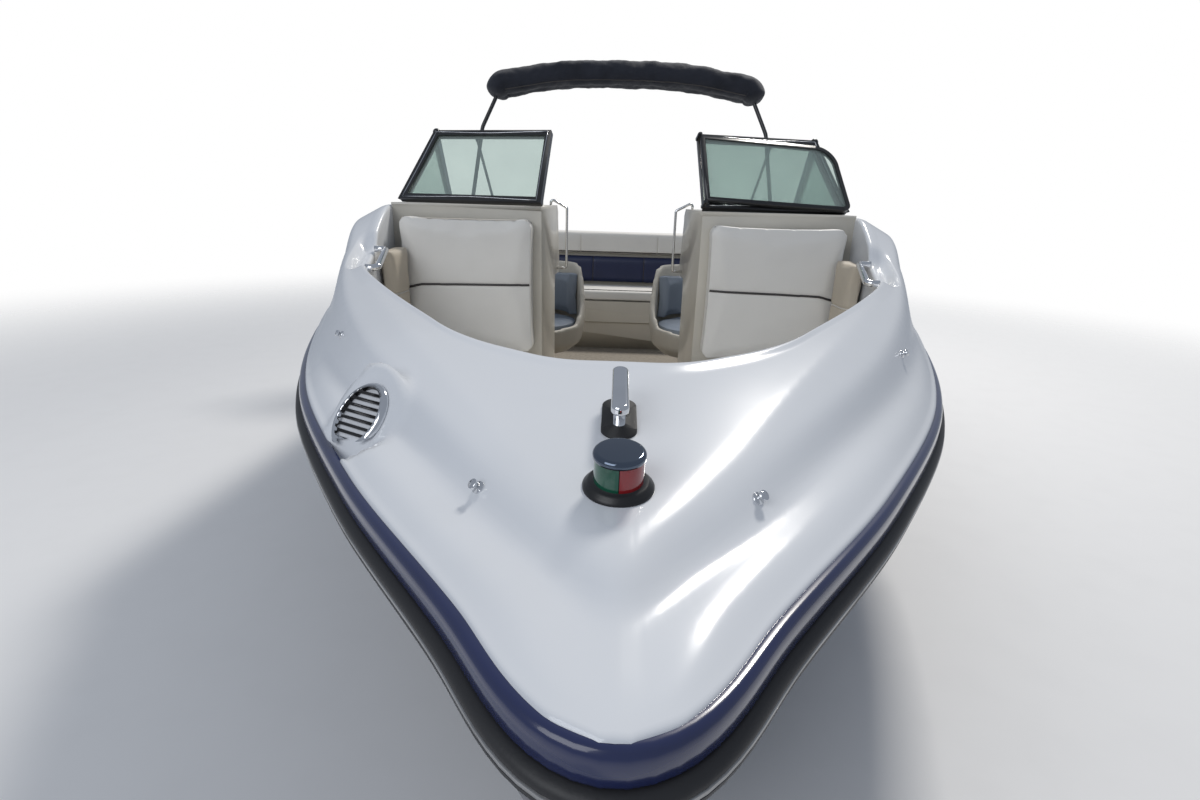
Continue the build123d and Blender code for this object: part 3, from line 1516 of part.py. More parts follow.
def make_grab_handles(deck):
    """Chrome grab handles in the bow cockpit's coaming, one a side."""
    x0, z0 = coaming_edge(handle_y - handle_length / 2.0)
    x1, z1 = coaming_edge(handle_y + handle_length / 2.0)
    front = Vector(x0 - handle_stand, handle_y - handle_length / 2.0, z0 - handle_drop)
    back = Vector(x1 - handle_stand, handle_y + handle_length / 2.0, z1 - handle_drop)
    with BuildPart() as handles:
        with BuildLine() as path:
            FilletPolyline(front + Vector(handle_stand + 14.0, 4.0, 0.0), front, back,
                           back + Vector(handle_stand + 14.0, -4.0, 0.0), radius=18.0)
        with BuildSketch(Plane(origin=path.line @ 0, z_dir=path.line % 0)):
            Circle(handle_tube / 2.0)
        sweep()
        mirror(about=Plane.YZ)
        add(deck, mode=Mode.SUBTRACT)
    return handles


def make_stern_cleats(deck):
    """Two horned cleats a side on the side decks."""
    with BuildPart() as cleats:
        for y in cleat_ys:
            x = cockpit_half + 46.0
            z = side_deck_z(y, x)
            for dy in (-24.0, 24.0):
                with BuildSketch(Plane.XY.offset(z - 4.0)):
                    with Locations((x, y + dy)):
                        Circle(9.0)
                extrude(amount=40.0)
            with BuildSketch(Plane.XY.offset(z + 30.0)):
                with Locations((x, y)):
                    SlotOverall(170.0, 20.0, rotation=90.0)
            extrude(amount=16.0)
        mirror(about=Plane.YZ)
        add(deck, mode=Mode.SUBTRACT)
    return cleats


def make_tow_eyes(hull_body):
    """Bow eye on the stem and the two eyes on the transom."""
    with BuildPart() as eyes:
        for side in (-1.0, 1.0):
            with BuildSketch(Plane.XY.offset(eye_z)):
                with Locations((side * eye_x, transom_y)):
                    SlotOverall(90.0, 60.0, rotation=90.0)
                    SlotOverall(58.0, 28.0, rotation=90.0, mode=Mode.SUBTRACT)
                    Rectangle(120.0, 120.0, align=(Align.CENTER, Align.MAX), mode=Mode.SUBTRACT)
            extrude(amount=12.0)
        with BuildSketch(Plane.YZ.offset(-6.0)):
            with Locations((bow_eye_y, bow_eye_z)):
                SlotOverall(130.0, 60.0, rotation=-35.0)
                SlotOverall(98.0, 28.0, rotation=-35.0, mode=Mode.SUBTRACT)
        extrude(amount=12.0)
        add(hull_body, mode=Mode.SUBTRACT)
    return eyes


def save(name, part):
    part.label = name
    export_step(part, f"parts/{name}.step")


outer_hull = hull_solid(0.0, 0.0, 0, transom_y)
hull_cavity = hull_solid(hull_wall, bottom_wall, 4, transom_y - hull_wall)
hull = make_hull(outer_hull, hull_cavity).part
deck_bow = make_deck_bow().part
deck_sides = make_deck_sides().part
windshield_frame = make_windshield_frame((deck_bow, deck_sides)).part
top_frame = make_top_frame().part
lamp_base = make_lamp_base(deck_bow).part
low_pad_z = bench_top_z + bench_cushion + 2.0

save("hull", hull)
save("deck_bow", deck_bow)
save("deck_sides", deck_sides)
save("deck_stern", make_deck_stern().part)
save("sheer_band", make_edge_ring(sheer_z, band_height, 0.0, band_thickness, None).part)
save("rub_rail", make_edge_ring(sheer_z - rail_height, rail_height, None, rail_proud, outer_hull).part)
save("sole", make_sole().part)
save("bow_liner", make_bow_liner(hull_cavity).part)
save("cockpit_liner", make_cockpit_liner(hull_cavity).part)
save("console_helm", make_console(-1, hull).part)
save("console_port", make_console(1, hull).part)
save("helm_gauges", make_helm_controls().part)
save("throttle", make_throttle().part)
save("steering_wheel", make_steering_wheel().part)
save("windshield_frame", windshield_frame)
save("windshield_glass", make_windshield_glass(windshield_frame).part)
save("windshield_door_frame", make_door("frame").part)
save("windshield_door_glass", make_door("glass").part)
save("walkway_rails", make_walkway_rails().part)
save("bow_seat_cushions", make_bow_seat_cushions().part)
save("bow_backrests", make_bow_backrests().part)
save("bow_bolsters", make_bow_bolsters().part)
save("seat_shell_starboard", make_seat_shell(-1).part)
save("seat_shell_port", make_seat_shell(1).part)
save("seat_cushion_starboard", make_seat_cushion(-1).part)
save("seat_cushion_port", make_seat_cushion(1).part)
save("seat_pedestals", make_seat_pedestals().part)
save("bench_base", make_bench_base().part)
save("bench_cushion", make_bench_cushion().part)
save("backrest_panel", make_rear_backrest(low_pad_z, backrest_split_z, backrest_pad - 20.0).part)
save("backrest_cap", make_backrest_cap().part)
save("engine_hatch", make_engine_hatch().part)
save("sunpad", make_sunpad().part)
save("engine_block", make_engine().part)
save("swim_platform", make_platform().part)
save("ladder", make_ladder().part)
save("ladder_brackets", make_ladder_brackets().part)
save("transom_shield", make_transom_shield().part)
save("drive_gimbal", make_gimbal().part)
save("drive_leg", make_drive_leg().part)
save("propeller", make_propeller().part)
save("top_frame", top_frame)
save("top_boot", make_top_boot(top_frame).part)
save("top_braces", make_top_braces().part)
save("top_mounts", make_top_mounts(deck_sides).part)
save("bow_light_base", lamp_base)
save("bow_light_lenses", make_lamp_lenses(lamp_base).part)
save("bow_light_cap", make_lamp_cap().part)
save("bow_cleat", make_bow_cleat(deck_bow).part)
save("horn_grille", make_grille(deck_bow).part)
save("cover_studs", make_cover_studs(deck_bow).part)
save("grab_handles", make_grab_handles(deck_bow).part)
save("stern_cleats", make_stern_cleats(deck_sides).part)
save("tow_eyes", make_tow_eyes(outer_hull).part)
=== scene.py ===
import bpy
import bmesh
import math
import json
from mathutils import Vector, Matrix, kdtree, noise

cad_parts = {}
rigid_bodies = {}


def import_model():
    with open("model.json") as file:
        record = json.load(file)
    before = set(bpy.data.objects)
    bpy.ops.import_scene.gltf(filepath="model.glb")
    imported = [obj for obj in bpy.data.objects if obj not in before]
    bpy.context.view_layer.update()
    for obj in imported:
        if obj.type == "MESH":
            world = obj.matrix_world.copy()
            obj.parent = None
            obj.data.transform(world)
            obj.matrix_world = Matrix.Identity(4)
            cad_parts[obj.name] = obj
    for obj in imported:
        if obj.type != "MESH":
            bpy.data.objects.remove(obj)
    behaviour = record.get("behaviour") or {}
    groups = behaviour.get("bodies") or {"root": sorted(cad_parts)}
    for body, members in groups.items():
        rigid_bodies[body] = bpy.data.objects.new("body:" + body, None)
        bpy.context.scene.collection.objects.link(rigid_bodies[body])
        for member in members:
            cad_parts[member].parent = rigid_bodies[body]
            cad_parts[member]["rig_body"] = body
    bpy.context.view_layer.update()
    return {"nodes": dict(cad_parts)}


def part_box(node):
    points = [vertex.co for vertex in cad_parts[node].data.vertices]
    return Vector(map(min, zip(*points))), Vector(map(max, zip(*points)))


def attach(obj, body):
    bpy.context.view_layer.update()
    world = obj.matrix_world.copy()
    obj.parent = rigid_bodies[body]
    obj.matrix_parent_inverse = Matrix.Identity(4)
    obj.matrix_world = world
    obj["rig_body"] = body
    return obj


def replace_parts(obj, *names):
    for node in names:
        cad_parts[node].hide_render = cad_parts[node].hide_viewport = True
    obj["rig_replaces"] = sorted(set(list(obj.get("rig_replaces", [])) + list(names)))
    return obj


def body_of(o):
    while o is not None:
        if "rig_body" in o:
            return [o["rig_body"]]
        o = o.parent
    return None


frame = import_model()
nodes = frame["nodes"]


# ---------------------------------------------------------------- materials
def blank_tree(owner):
    """Empty node tree of a material or a world."""
    owner.use_nodes = True
    owner.node_tree.nodes.clear()
    return owner.node_tree


def add_node(tree, kind, **values):
    """Shader node with inputs set by name, where an underscore stands for a blank."""
    made = tree.nodes.new("ShaderNode" + kind)
    for key, value in values.items():
        made.inputs[key.replace("_", " ")].default_value = value
    return made


def noise_fac(tree, coords, **values):
    """Output of a noise texture in object coordinates."""
    texture = add_node(tree, "TexNoise", **values)
    tree.links.new(coords.outputs["Object"], texture.inputs["Vector"])
    return texture.outputs["Fac"]


def spread_over(tree, value, low, high, ends=("To Min", "To Max")):
    """Output of a map range on a value, with two of its ends set."""
    made = tree.nodes.new("ShaderNodeMapRange")
    made.inputs[ends[0]].default_value = low
    made.inputs[ends[1]].default_value = high
    tree.links.new(value, made.inputs["Value"])
    return made.outputs["Result"]


def relief(tree, height, strength, depth, below):
    """Normal output of a bump that lies on top of another one."""
    bump = add_node(tree, "Bump", Strength=strength, Distance=depth)
    tree.links.new(height, bump.inputs["Height"])
    if below is not None:
        tree.links.new(below, bump.inputs["Normal"])
    return bump.outputs[0]


# Part of the noise that a fleck's colour fades over, and how strong each relief is.
fleck_span = (0.45, 0.8)
grain_strength = 0.4
wave_strength = 0.5
least_rough = 0.02


def shader(name, color, rough=0.4, metal=0.0, coat=0.0, fleck=0.0, fleck_scale=6.0, grain=0.0, grain_scale=300.0,
           wave=0.0, wave_scale=3.0, rough_var=0.08, sheen=0.0):
    """Principled material with procedural colour mottling, roughness change and relief; grain and wave in metres."""
    mat = bpy.data.materials.new(name)
    tree = blank_tree(mat)
    out = add_node(tree, "OutputMaterial")
    body = add_node(tree, "BsdfPrincipled", Metallic=metal, Coat_Weight=coat, Coat_Roughness=0.05, Sheen_Weight=sheen)
    tree.links.new(body.outputs[0], out.inputs[0])
    coords = add_node(tree, "TexCoord")
    spread = noise_fac(tree, coords, Scale=fleck_scale, Detail=5.0)
    mix = tree.nodes.new("ShaderNodeMix")
    mix.data_type = "RGBA"
    # Inputs 6 and 7 and output 2 are the colours of this node.
    mix.inputs[6].default_value = (*color, 1.0)
    mix.inputs[7].default_value = (*[c * (1.0 - fleck) for c in color], 1.0)
    tree.links.new(spread_over(tree, spread, *fleck_span, ("From Min", "From Max")), mix.inputs[0])
    tree.links.new(mix.outputs[2], body.inputs["Base Color"])
    low, high = max(least_rough, rough - rough_var), min(1.0, rough + rough_var)
    tree.links.new(spread_over(tree, spread, low, high), body.inputs["Roughness"])
    normal = None
    if grain:
        normal = relief(tree, noise_fac(tree, coords, Scale=grain_scale, Detail=3.0), grain_strength, grain, None)
    if wave:
        normal = relief(tree, noise_fac(tree, coords, Scale=wave_scale, Detail=1.0), wave_strength, wave, normal)
    if normal is not None:
        tree.links.new(normal, body.inputs["Normal"])
    return mat


white = shader("gelcoat_white", (0.78, 0.80, 0.83), rough=0.2, coat=0.5, fleck=0.06, fleck_scale=2.5,
               wave=0.004, wave_scale=2.2, rough_var=0.07)
navy_hull = shader("hull_navy", (0.010, 0.014, 0.034), rough=0.26, coat=0.25, fleck=0.25, wave=0.003)
navy_band = shader("band_navy", (0.014, 0.022, 0.085), rough=0.22, coat=0.6, fleck=0.2, wave=0.002)
rail_black = shader("rail_rubber", (0.02, 0.02, 0.022), rough=0.5, grain=0.0006, grain_scale=220.0)
cream = shader("liner_cream", (0.66, 0.63, 0.56), rough=0.32, coat=0.25, fleck=0.1, fleck_scale=4.0,
               grain=0.0004, grain_scale=160.0)
floor_grey = shader("sole_mat", (0.30, 0.27, 0.23), rough=0.85, fleck=0.3, fleck_scale=40.0,
                    grain=0.002, grain_scale=260.0)
black_plastic = shader("gauge_black", (0.012, 0.012, 0.013), rough=0.35, grain=0.0003, grain_scale=400.0)
frame_black = shader("frame_black", (0.012, 0.012, 0.014), rough=0.3, coat=0.3, fleck=0.2)
wheel_black = shader("wheel_black", (0.016, 0.016, 0.017), rough=0.55, grain=0.0008, grain_scale=350.0)
chrome = shader("chrome", (0.78, 0.79, 0.81), rough=0.09, metal=1.0, fleck=0.12, fleck_scale=12.0, rough_var=0.05)
vinyl_white = shader("vinyl_white", (0.76, 0.745, 0.71), rough=0.48, fleck=0.09, fleck_scale=3.5,
                     grain=0.0012, grain_scale=420.0, wave=0.01, wave_scale=7.0)
vinyl_beige = shader("vinyl_beige", (0.52, 0.46, 0.37), rough=0.5, fleck=0.12, fleck_scale=4.0,
                     grain=0.0012, grain_scale=420.0)
vinyl_navy = shader("vinyl_navy", (0.014, 0.022, 0.07), rough=0.4, fleck=0.2, grain=0.0012, grain_scale=420.0)
vinyl_blue = shader("vinyl_bluegrey", (0.25, 0.29, 0.35), rough=0.5, fleck=0.14, grain=0.0012, grain_scale=420.0)
shell_cream = shader("shell_cream", (0.66, 0.62, 0.54), rough=0.45, fleck=0.1, grain=0.001, grain_scale=420.0)
alloy = shader("alloy_grey", (0.45, 0.46, 0.48), rough=0.35, metal=0.9, fleck=0.15, grain=0.0003)
iron = shader("engine_grey", (0.10, 0.105, 0.11), rough=0.6, fleck=0.35, fleck_scale=14.0, grain=0.001)
drive_grey = shader("drive_grey", (0.05, 0.055, 0.06), rough=0.34, fleck=0.3, fleck_scale=9.0, coat=0.2,
                    grain=0.0003, grain_scale=500.0)
steel = shader("prop_steel", (0.5, 0.51, 0.53), rough=0.22, metal=1.0, fleck=0.2, fleck_scale=10.0)
tube_black = shader("tube_black", (0.015, 0.015, 0.016), rough=0.28, coat=0.3, fleck=0.2)
canvas = shader("canvas_navy", (0.016, 0.019, 0.03), rough=0.9, fleck=0.4, fleck_scale=9.0, sheen=0.25,
                grain=0.002, grain_scale=900.0, wave=0.02, wave_scale=14.0)

# Nodes by material.
looks = {name: material for material, names in (
    (navy_hull, "hull"),
    (white, "deck_bow deck_sides deck_stern engine_hatch swim_platform"),
    (navy_band, "sheer_band"),
    (rail_black, "rub_rail"),
    (floor_grey, "sole"),
    (cream, "bow_liner cockpit_liner console_helm console_port bench_base"),
    (black_plastic, "helm_gauges throttle bow_light_base"),
    (wheel_black, "steering_wheel"),
    (frame_black, "windshield_frame windshield_door_frame"),
    (chrome, "bow_cleat horn_grille cover_studs grab_handles stern_cleats tow_eyes walkway_rails ladder "
             "ladder_brackets bow_light_cap"),
    (alloy, "seat_pedestals top_mounts"),
    (iron, "engine_block"),
    (drive_grey, "transom_shield drive_gimbal drive_leg"),
    (steel, "propeller"),
    (tube_black, "top_frame top_braces"),
    (canvas, "top_boot"),
    (vinyl_white, "bow_seat_cushions bow_backrests bench_cushion backrest_cap sunpad"),
    (vinyl_beige, "bow_bolsters"),
    (vinyl_navy, "backrest_panel"),
    (vinyl_blue, "seat_cushion_starboard seat_cushion_port"),
    (shell_cream, "seat_shell_starboard seat_shell_port"),
) for name in names.split()}


def glass(name, tint, rough=0.02, share=0.72, smear=0.06):
    """Thin tinted pane: a clear share and the rest glossy, with faint smears in the share."""
    mat = bpy.data.materials.new(name)
    tree = blank_tree(mat)
    out = add_node(tree, "OutputMaterial")
    clear = add_node(tree, "BsdfTransparent", Color=(*tint, 1.0))
    gloss = add_node(tree, "BsdfPrincipled", Base_Color=(0.55, 0.62, 0.60, 1.0), Roughness=rough)
    smears = noise_fac(tree, add_node(tree, "TexCoord"), Scale=5.0)
    mix = add_node(tree, "MixShader")
    tree.links.new(spread_over(tree, smears, 1.0 - share - smear, 1.0 - share + smear), mix.inputs[0])
    tree.links.new(clear.outputs[0], mix.inputs[1])
    tree.links.new(gloss.outputs[0], mix.inputs[2])
    tree.links.new(mix.outputs[0], out.inputs[0])
    return mat


pane = glass("glass_green", (0.86, 0.93, 0.90))
looks["windshield_glass"] = pane
looks["windshield_door_glass"] = pane
looks["bow_light_lenses"] = shader("lens", (0.3, 0.02, 0.02), rough=0.15, coat=0.5)

for name, obj in nodes.items():
    obj.data.materials.clear()
    obj.data.materials.append(looks[name])


# ---------------------------------------------------------------- decks as fine smooth skins
nose_y = -2.904
stern_y = 2.600
opening_nose_y = -2.180
opening_end_y = -0.850
cockpit_half = 0.890
rim_z = 0.839
# Bow cockpit's edge, port side: x and y of its corners.
opening_rows = [(0.0, opening_nose_y), (0.120, opening_nose_y), (0.330, -2.075), (0.560, -1.775), (0.800, -1.400),
                (0.872, -1.080), (cockpit_half, opening_end_y)]
opening_radii = [0.06, 0.16, 0.16, 0.16, 0.14]
# Half breadth of the rim by station.
rim_rows = [(-2.902, 0.016), (-2.880, 0.060), (-2.740, 0.172), (-2.450, 0.408), (-2.000, 0.700), (-1.500, 0.915),
            (-1.150, 1.030), (-0.850, 1.098), (-0.560, 1.118), (0.330, 1.128), (stern_y, 1.098)]
# Coaming, shoulder and ledge by station: y, then x and z of each.
relief_rows = [
    (-2.902, 0.003, 0.842, 0.005, 0.842, 0.008, 0.842), (-2.860, 0.008, 0.849, 0.012, 0.849, 0.018, 0.848),
    (-2.775, 0.010, 0.858, 0.014, 0.858, 0.024, 0.856), (-2.715, 0.016, 0.884, 0.034, 0.878, 0.062, 0.858),
    (-2.600, 0.084, 0.902, 0.126, 0.890, 0.166, 0.862), (-2.450, 0.180, 0.922, 0.240, 0.908, 0.284, 0.870),
    (-2.000, 0.470, 0.985, 0.570, 0.955, 0.614, 0.888), (-1.500, 0.742, 1.030, 0.828, 1.010, 0.868, 0.900),
    (-1.150, 0.876, 1.088, 0.958, 1.066, 0.998, 0.925), (-0.850, 0.925, 1.205, 1.028, 1.150, 1.076, 1.000),
    (-0.560, 0.940, 1.205, 1.036, 1.135, 1.090, 0.990), (-0.100, 0.948, 1.148, 1.036, 1.090, 1.098, 0.964),
    (0.330, 0.960, 1.100, 1.040, 1.050, 1.102, 0.945), (0.900, 0.985, 1.036, 1.050, 1.008, 1.102, 0.930),
    (2.000, 0.985, 1.005, 1.040, 0.975, 1.090, 0.915), (stern_y, 0.975, 0.985, 1.025, 0.955, 1.074, 0.905),
]


def fair(rows, y):
    """Row at y on a monotone smooth curve through the rows."""
    ys = [r[0] for r in rows]
    y = min(max(y, ys[0]), ys[-1])
    i = max(k for k in range(len(ys) - 1) if ys[k] <= y)
    h = ys[i + 1] - ys[i]
    t = (y - ys[i]) / h
    made = []
    for c in range(1, len(rows[0])):
        v = [r[c] for r in rows]
        steps = [(v[k + 1] - v[k]) / (ys[k + 1] - ys[k]) for k in range(len(ys) - 1)]

        def slope(k):
            if k == 0 or k == len(ys) - 1:
                return steps[min(k, len(steps) - 1)]
            a, b = steps[k - 1], steps[k]
            return 0.0 if a * b <= 0 else 2 * a * b / (a + b)
        made.append(v[i] * (1 + 2 * t) * (1 - t) ** 2 + h * slope(i) * t * (1 - t) ** 2
                    + v[i + 1] * t * t * (3 - 2 * t) - h * slope(i + 1) * t * t * (1 - t))
    return made


def rounded_line(points, radii, cuts=7):
    """Open polyline with each inner corner rounded by its own radius, as dense points."""
    made = [Vector(points[0])]
    for a, b, c, r in zip(points, points[1:], points[2:], radii):
        a, b, c = Vector(a), Vector(b), Vector(c)
        u, w = (a - b), (c - b)
        reach = min(r, u.length * 0.48, w.length * 0.48)
        p, q = b + u.normalized() * reach, b + w.normalized() * reach
        for k in range(cuts + 1):
            t = k / cuts
            made.append(p.lerp(b, t).lerp(b.lerp(q, t), t))
    made.append(Vector(points[-1]))
    return made


def run_lengths(points):
    """Distance from the first point to each point of a polyline."""
    runs = [0.0]
    for a, b in zip(points, points[1:]):
        runs.append(runs[-1] + (b - a).length)
    return runs


def resample(points, count):
    """Evenly spaced points along a polyline."""
    lengths = run_lengths(points)
    made = []
    j = 0
    for k in range(count):
        s = lengths[-1] * k / (count - 1)
        while j < len(points) - 2 and lengths[j + 1] < s:
            j += 1
        span = lengths[j + 1] - lengths[j]
        t = 0.0 if span <= 0 else (s - lengths[j]) / span
        made.append(points[j].lerp(points[j + 1], min(max(t, 0.0), 1.0)))
    return made


open_plan = resample(rounded_line(opening_rows, opening_radii, 10), 400)


def add_object(name, data):
    """Object of its own in the scene."""
    obj = bpy.data.objects.new(name, data)
    bpy.context.scene.collection.objects.link(obj)
    return obj


def add_mesh(name, verts, faces, material=None, flat_ends=False):
    """Mesh object with smooth shading; flat_ends keeps faces of more than four corners flat."""
    mesh = bpy.data.meshes.new(name)
    mesh.from_pydata([tuple(v) for v in verts], [], faces)
    if material:
        mesh.materials.append(material)
        mesh.polygons.foreach_set("use_smooth", [len(f) == 4 or not flat_ends for f in faces])
    return add_object(name, mesh)


def ring_faces(rings, count, closed=False):
    """Quads between rings of count points each, with an end cap at both ends unless the rings close on themselves."""
    faces = []
    for i in range(rings if closed else rings - 1):
        a, b = i * count, (i + 1) % rings * count
        faces += [(a + k, a + (k + 1) % count, b + (k + 1) % count, b + k) for k in range(count)]
    if not closed:
        faces += [tuple(range(count))[::-1], tuple((rings - 1) * count + k for k in range(count))]
    return faces


def turn_outward(mesh):
    """Turns the normals of a closed mesh outward."""
    bm = bmesh.new()
    bm.from_mesh(mesh)
    bmesh.ops.recalc_face_normals(bm, faces=bm.faces)
    bm.to_mesh(mesh)
    bm.free()


def smooth(t):
    """0 to 1 with soft ends."""
    t = min(max(t, 0.0), 1.0)
    return t * t * (3 - 2 * t)


# Grid of deck heights: its cell, where it starts, and its size.
cell = 0.012
field_start = -2.94
field_rows = 466
field_columns = 99
blur_weights = {-2: 0.03, -1: 0.22, 0: 0.50, 1: 0.22, 2: 0.03}


def section_height(knots, x):
    """Height at x on a polyline of (x, z) knots."""
    for a, b in zip(knots, knots[1:]):
        if x <= b[0]:
            span = b[0] - a[0]
            return a[1] if span < 1e-6 else a[1] + (b[1] - a[1]) * (x - a[0]) / span
    return knots[-1][1]


def deck_field():
    """Heights of the decks on an even grid, with every crease rolled over by a soft blur."""
    rows, columns = range(field_rows), range(field_columns)
    flank_share, flank_rise, flank_foot_z, ledge_width = 0.62, 0.010, 0.842, 0.15
    grid = []
    for i in rows:
        y = field_start + i * cell
        rim = fair(rim_rows, y)[0]
        cx, cz, sx, sz, lx, lz = fair(relief_rows, y)
        room = min(1.0, max(0.0, rim - lx) / ledge_width)
        half_way = (lx + (rim - lx) * flank_share, lz + (flank_foot_z - lz) * 0.5 + flank_rise * room)
        knots = [(0.0, cz + 0.002), (cx, cz), (sx, sz), (lx, lz), half_way, (rim, rim_z), (rim + 0.1, rim_z)]
        grid.append([section_height(knots, k * cell) for k in columns])
    grid = [[sum(w * row[min(abs(k + d), field_columns - 1)] for d, w in blur_weights.items()) for k in columns]
            for row in grid]
    return [[sum(w * grid[min(max(i + d, 0), field_rows - 1)][k] for d, w in blur_weights.items()) for k in columns]
            for i in rows]


deck_grid = deck_field()
grille_low, grille_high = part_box("horn_grille")
grille_middle = (Vector(grille_low) + Vector(grille_high)) / 2
grille_face = Vector((-0.36, -0.66, 0.66)).normalized()
# Flat seat moulded for the grille: how far below its middle, its radius, its blend, and where both end.
grille_sink = 0.010
grille_seat = 0.064
grille_blend = 0.036
grille_reach = 0.16


def deck_height(x, y):
    """Height of the smooth deck at a point, with the moulded seat of the horn grille."""
    u = min(max((y - field_start) / cell, 0.0), field_rows - 1.001)
    v = min(abs(x) / cell, field_columns - 1.001)
    i, k = int(u), int(v)
    s, t = u - i, v - k
    low = deck_grid[i][k] * (1 - t) + deck_grid[i][k + 1] * t
    high = deck_grid[i + 1][k] * (1 - t) + deck_grid[i + 1][k + 1] * t
    z = low * (1 - s) + high * s
    away = Vector((x, y, z)) - grille_middle
    if x < 0.0 and away.length < grille_reach:
        flat = away - grille_face * away.dot(grille_face)
        seat = grille_middle.z - grille_sink - (away.x * grille_face.x + away.y * grille_face.y) / grille_face.z
        share = 1.0 - smooth((flat.length - grille_seat) / grille_blend)
        z += (seat - z) * share
    return z


def crease_line(tip, rows, column, steps=419):
    """Plan of one crease from its tip on the centreline aft, with the distance run at each point."""
    points = [Vector((0.0, tip, 0.0))]
    for k in range(1, steps + 1):
        y = tip + (stern_y - tip) * (k / steps) ** 2
        points.append(Vector((fair(rows, y)[column], y, 0.0)))
    return points, run_lengths(points)


rim_crease = crease_line(nose_y, rim_rows, 0)
ledge_crease = crease_line(-2.776, relief_rows, 4)
coaming_crease = crease_line(-2.722, relief_rows, 0)


def along_line(line, arc, share, y):
    """Point of a crease that lies between a distance along it and a station."""
    points, runs = line
    k = 0
    while k < len(points) - 2 and points[k + 1].y < y:
        k += 1
    part = min(max((y - points[k].y) / (points[k + 1].y - points[k].y), 0.0), 1.0)
    run = (1 - share) * arc + share * (runs[k] + part * (runs[k + 1] - runs[k]))
    k = 0
    while k < len(points) - 2 and runs[k + 1] < run:
        k += 1
    return points[k].lerp(points[k + 1], min(max((run - runs[k]) / (runs[k + 1] - runs[k]), 0.0), 1.0))


# Rounds and bead at the deck's two edges, how far each edge hangs down, and the round of a crease.
rim_round = 0.010
rim_skirt = (0.801, 0.826)
lip_round = 0.012
lip_bead, lip_bead_width = 0.007, 0.05
lip_drop = 0.030
deck_underside = 0.800
crease_round = 0.05
least_coaming = 0.03
# Length along the cockpit's edge over which rows turn from even spacing to straight across.
fan_length = 1.15
# Where the grab handles stand, by station, and how deep the deck is scooped out there.
handle_start_y, handle_end_y = -1.43, -1.13
scoop_fade, scoop_depth = 0.07, 0.040
scoop_width, scoop_edge = 0.03, 0.04


def deck_row(arc, x_o, y_o):
    """Skin points across the deck at one place along the cockpit's edge, from the rim inwards."""
    share = smooth(arc / fan_length)
    rim, ledge, coaming = [along_line(line, arc, share, y_o) for line in (rim_crease, ledge_crease, coaming_crease)]
    lip = Vector((x_o, y_o, 0.0))
    inward = (ledge - rim).normalized()
    outward = coaming - lip
    if outward.length < least_coaming:
        coaming = lip + outward.normalized() * least_coaming
    outward.normalize()
    start, end = rim + inward * rim_round, lip + outward * lip_round
    path = rounded_line([start, ledge, coaming, end], [crease_round, crease_round], 4)
    row = [Vector((rim.x, rim.y, z)) for z in rim_skirt]
    centre = Vector((rim.x, rim.y, deck_height(start.x, start.y) - rim_round))
    for k in range(1, 4):
        turn = math.pi / 2 * k / 4
        row.append(centre + inward * (rim_round * (1 - math.cos(turn))) + Vector((0, 0, rim_round * math.sin(turn))))
    at_handle = smooth((y_o - handle_start_y) / scoop_fade) - smooth((y_o - handle_end_y) / scoop_fade)
    for p in resample(path, 52):
        away = (p - lip).length
        scoop = scoop_depth * at_handle * (1.0 - smooth((away - scoop_width) / scoop_edge))
        bead = lip_bead * (1.0 - smooth(away / lip_bead_width))
        row.append(Vector((p.x, p.y, deck_height(p.x, p.y) + bead - scoop)))
    top = row[-1].z
    centre = Vector((lip.x, lip.y, top - lip_round))
    for k in range(1, 6):
        turn = math.pi / 2 * k / 5
        row.append(centre + outward * (lip_round * (1 - math.sin(turn))) + Vector((0, 0, lip_round * math.cos(turn))))
    return row + [Vector((lip.x, lip.y, z)) for z in (top - lip_drop, deck_underside)]


def make_decks():
    """One smooth skin over the foredeck and both side decks."""
    plan = [p.to_3d() for p in open_plan]
    arcs = run_lengths(plan)
    rows = []
    count = 150
    j = 0
    for k in range(count):
        # Closer rows round the nose of the opening.
        t = k / (count - 1)
        arc = arcs[-1] * (0.45 * t * t + 0.55 * t)
        while j < len(plan) - 2 and arcs[j + 1] < arc:
            j += 1
        span = max(arcs[j + 1] - arcs[j], 1e-9)
        p = plan[j].lerp(plan[j + 1], min(max((arc - arcs[j]) / span, 0.0), 1.0))
        rows.append(deck_row(arc, p.x, p.y))
    # Straight side decks, past the length over which rows turn.
    steps = 90
    past_opening = 9.0
    for k in range(1, steps + 1):
        rows.append(deck_row(past_opening, cockpit_half, opening_end_y + (stern_y - opening_end_y) * k / steps))
    mirrored = [[Vector((-p.x, p.y, deck_height(-p.x, p.y) + (p.z - deck_height(p.x, p.y)))) for p in row]
                for row in rows]
    rows = mirrored[:0:-1] + rows
    across = len(rows[0])
    faces = []
    for i in range(len(rows) - 1):
        a, b = i * across, (i + 1) * across
        faces += [(a + k, a + k + 1, b + k + 1, b + k) for k in range(across - 1)]
    last = (len(rows) - 1) * across
    faces += [tuple(reversed(range(across))), tuple(last + k for k in range(across))]
    deck = add_mesh("deck_skin", [p for row in rows for p in row], faces, white, flat_ends=True)
    deck.data.validate()
    if sum(p.normal.z * p.area for p in deck.data.polygons) < 0:
        deck.data.flip_normals()
    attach(deck, "boat")
    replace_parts(deck, "deck_bow", "deck_sides")


make_decks()


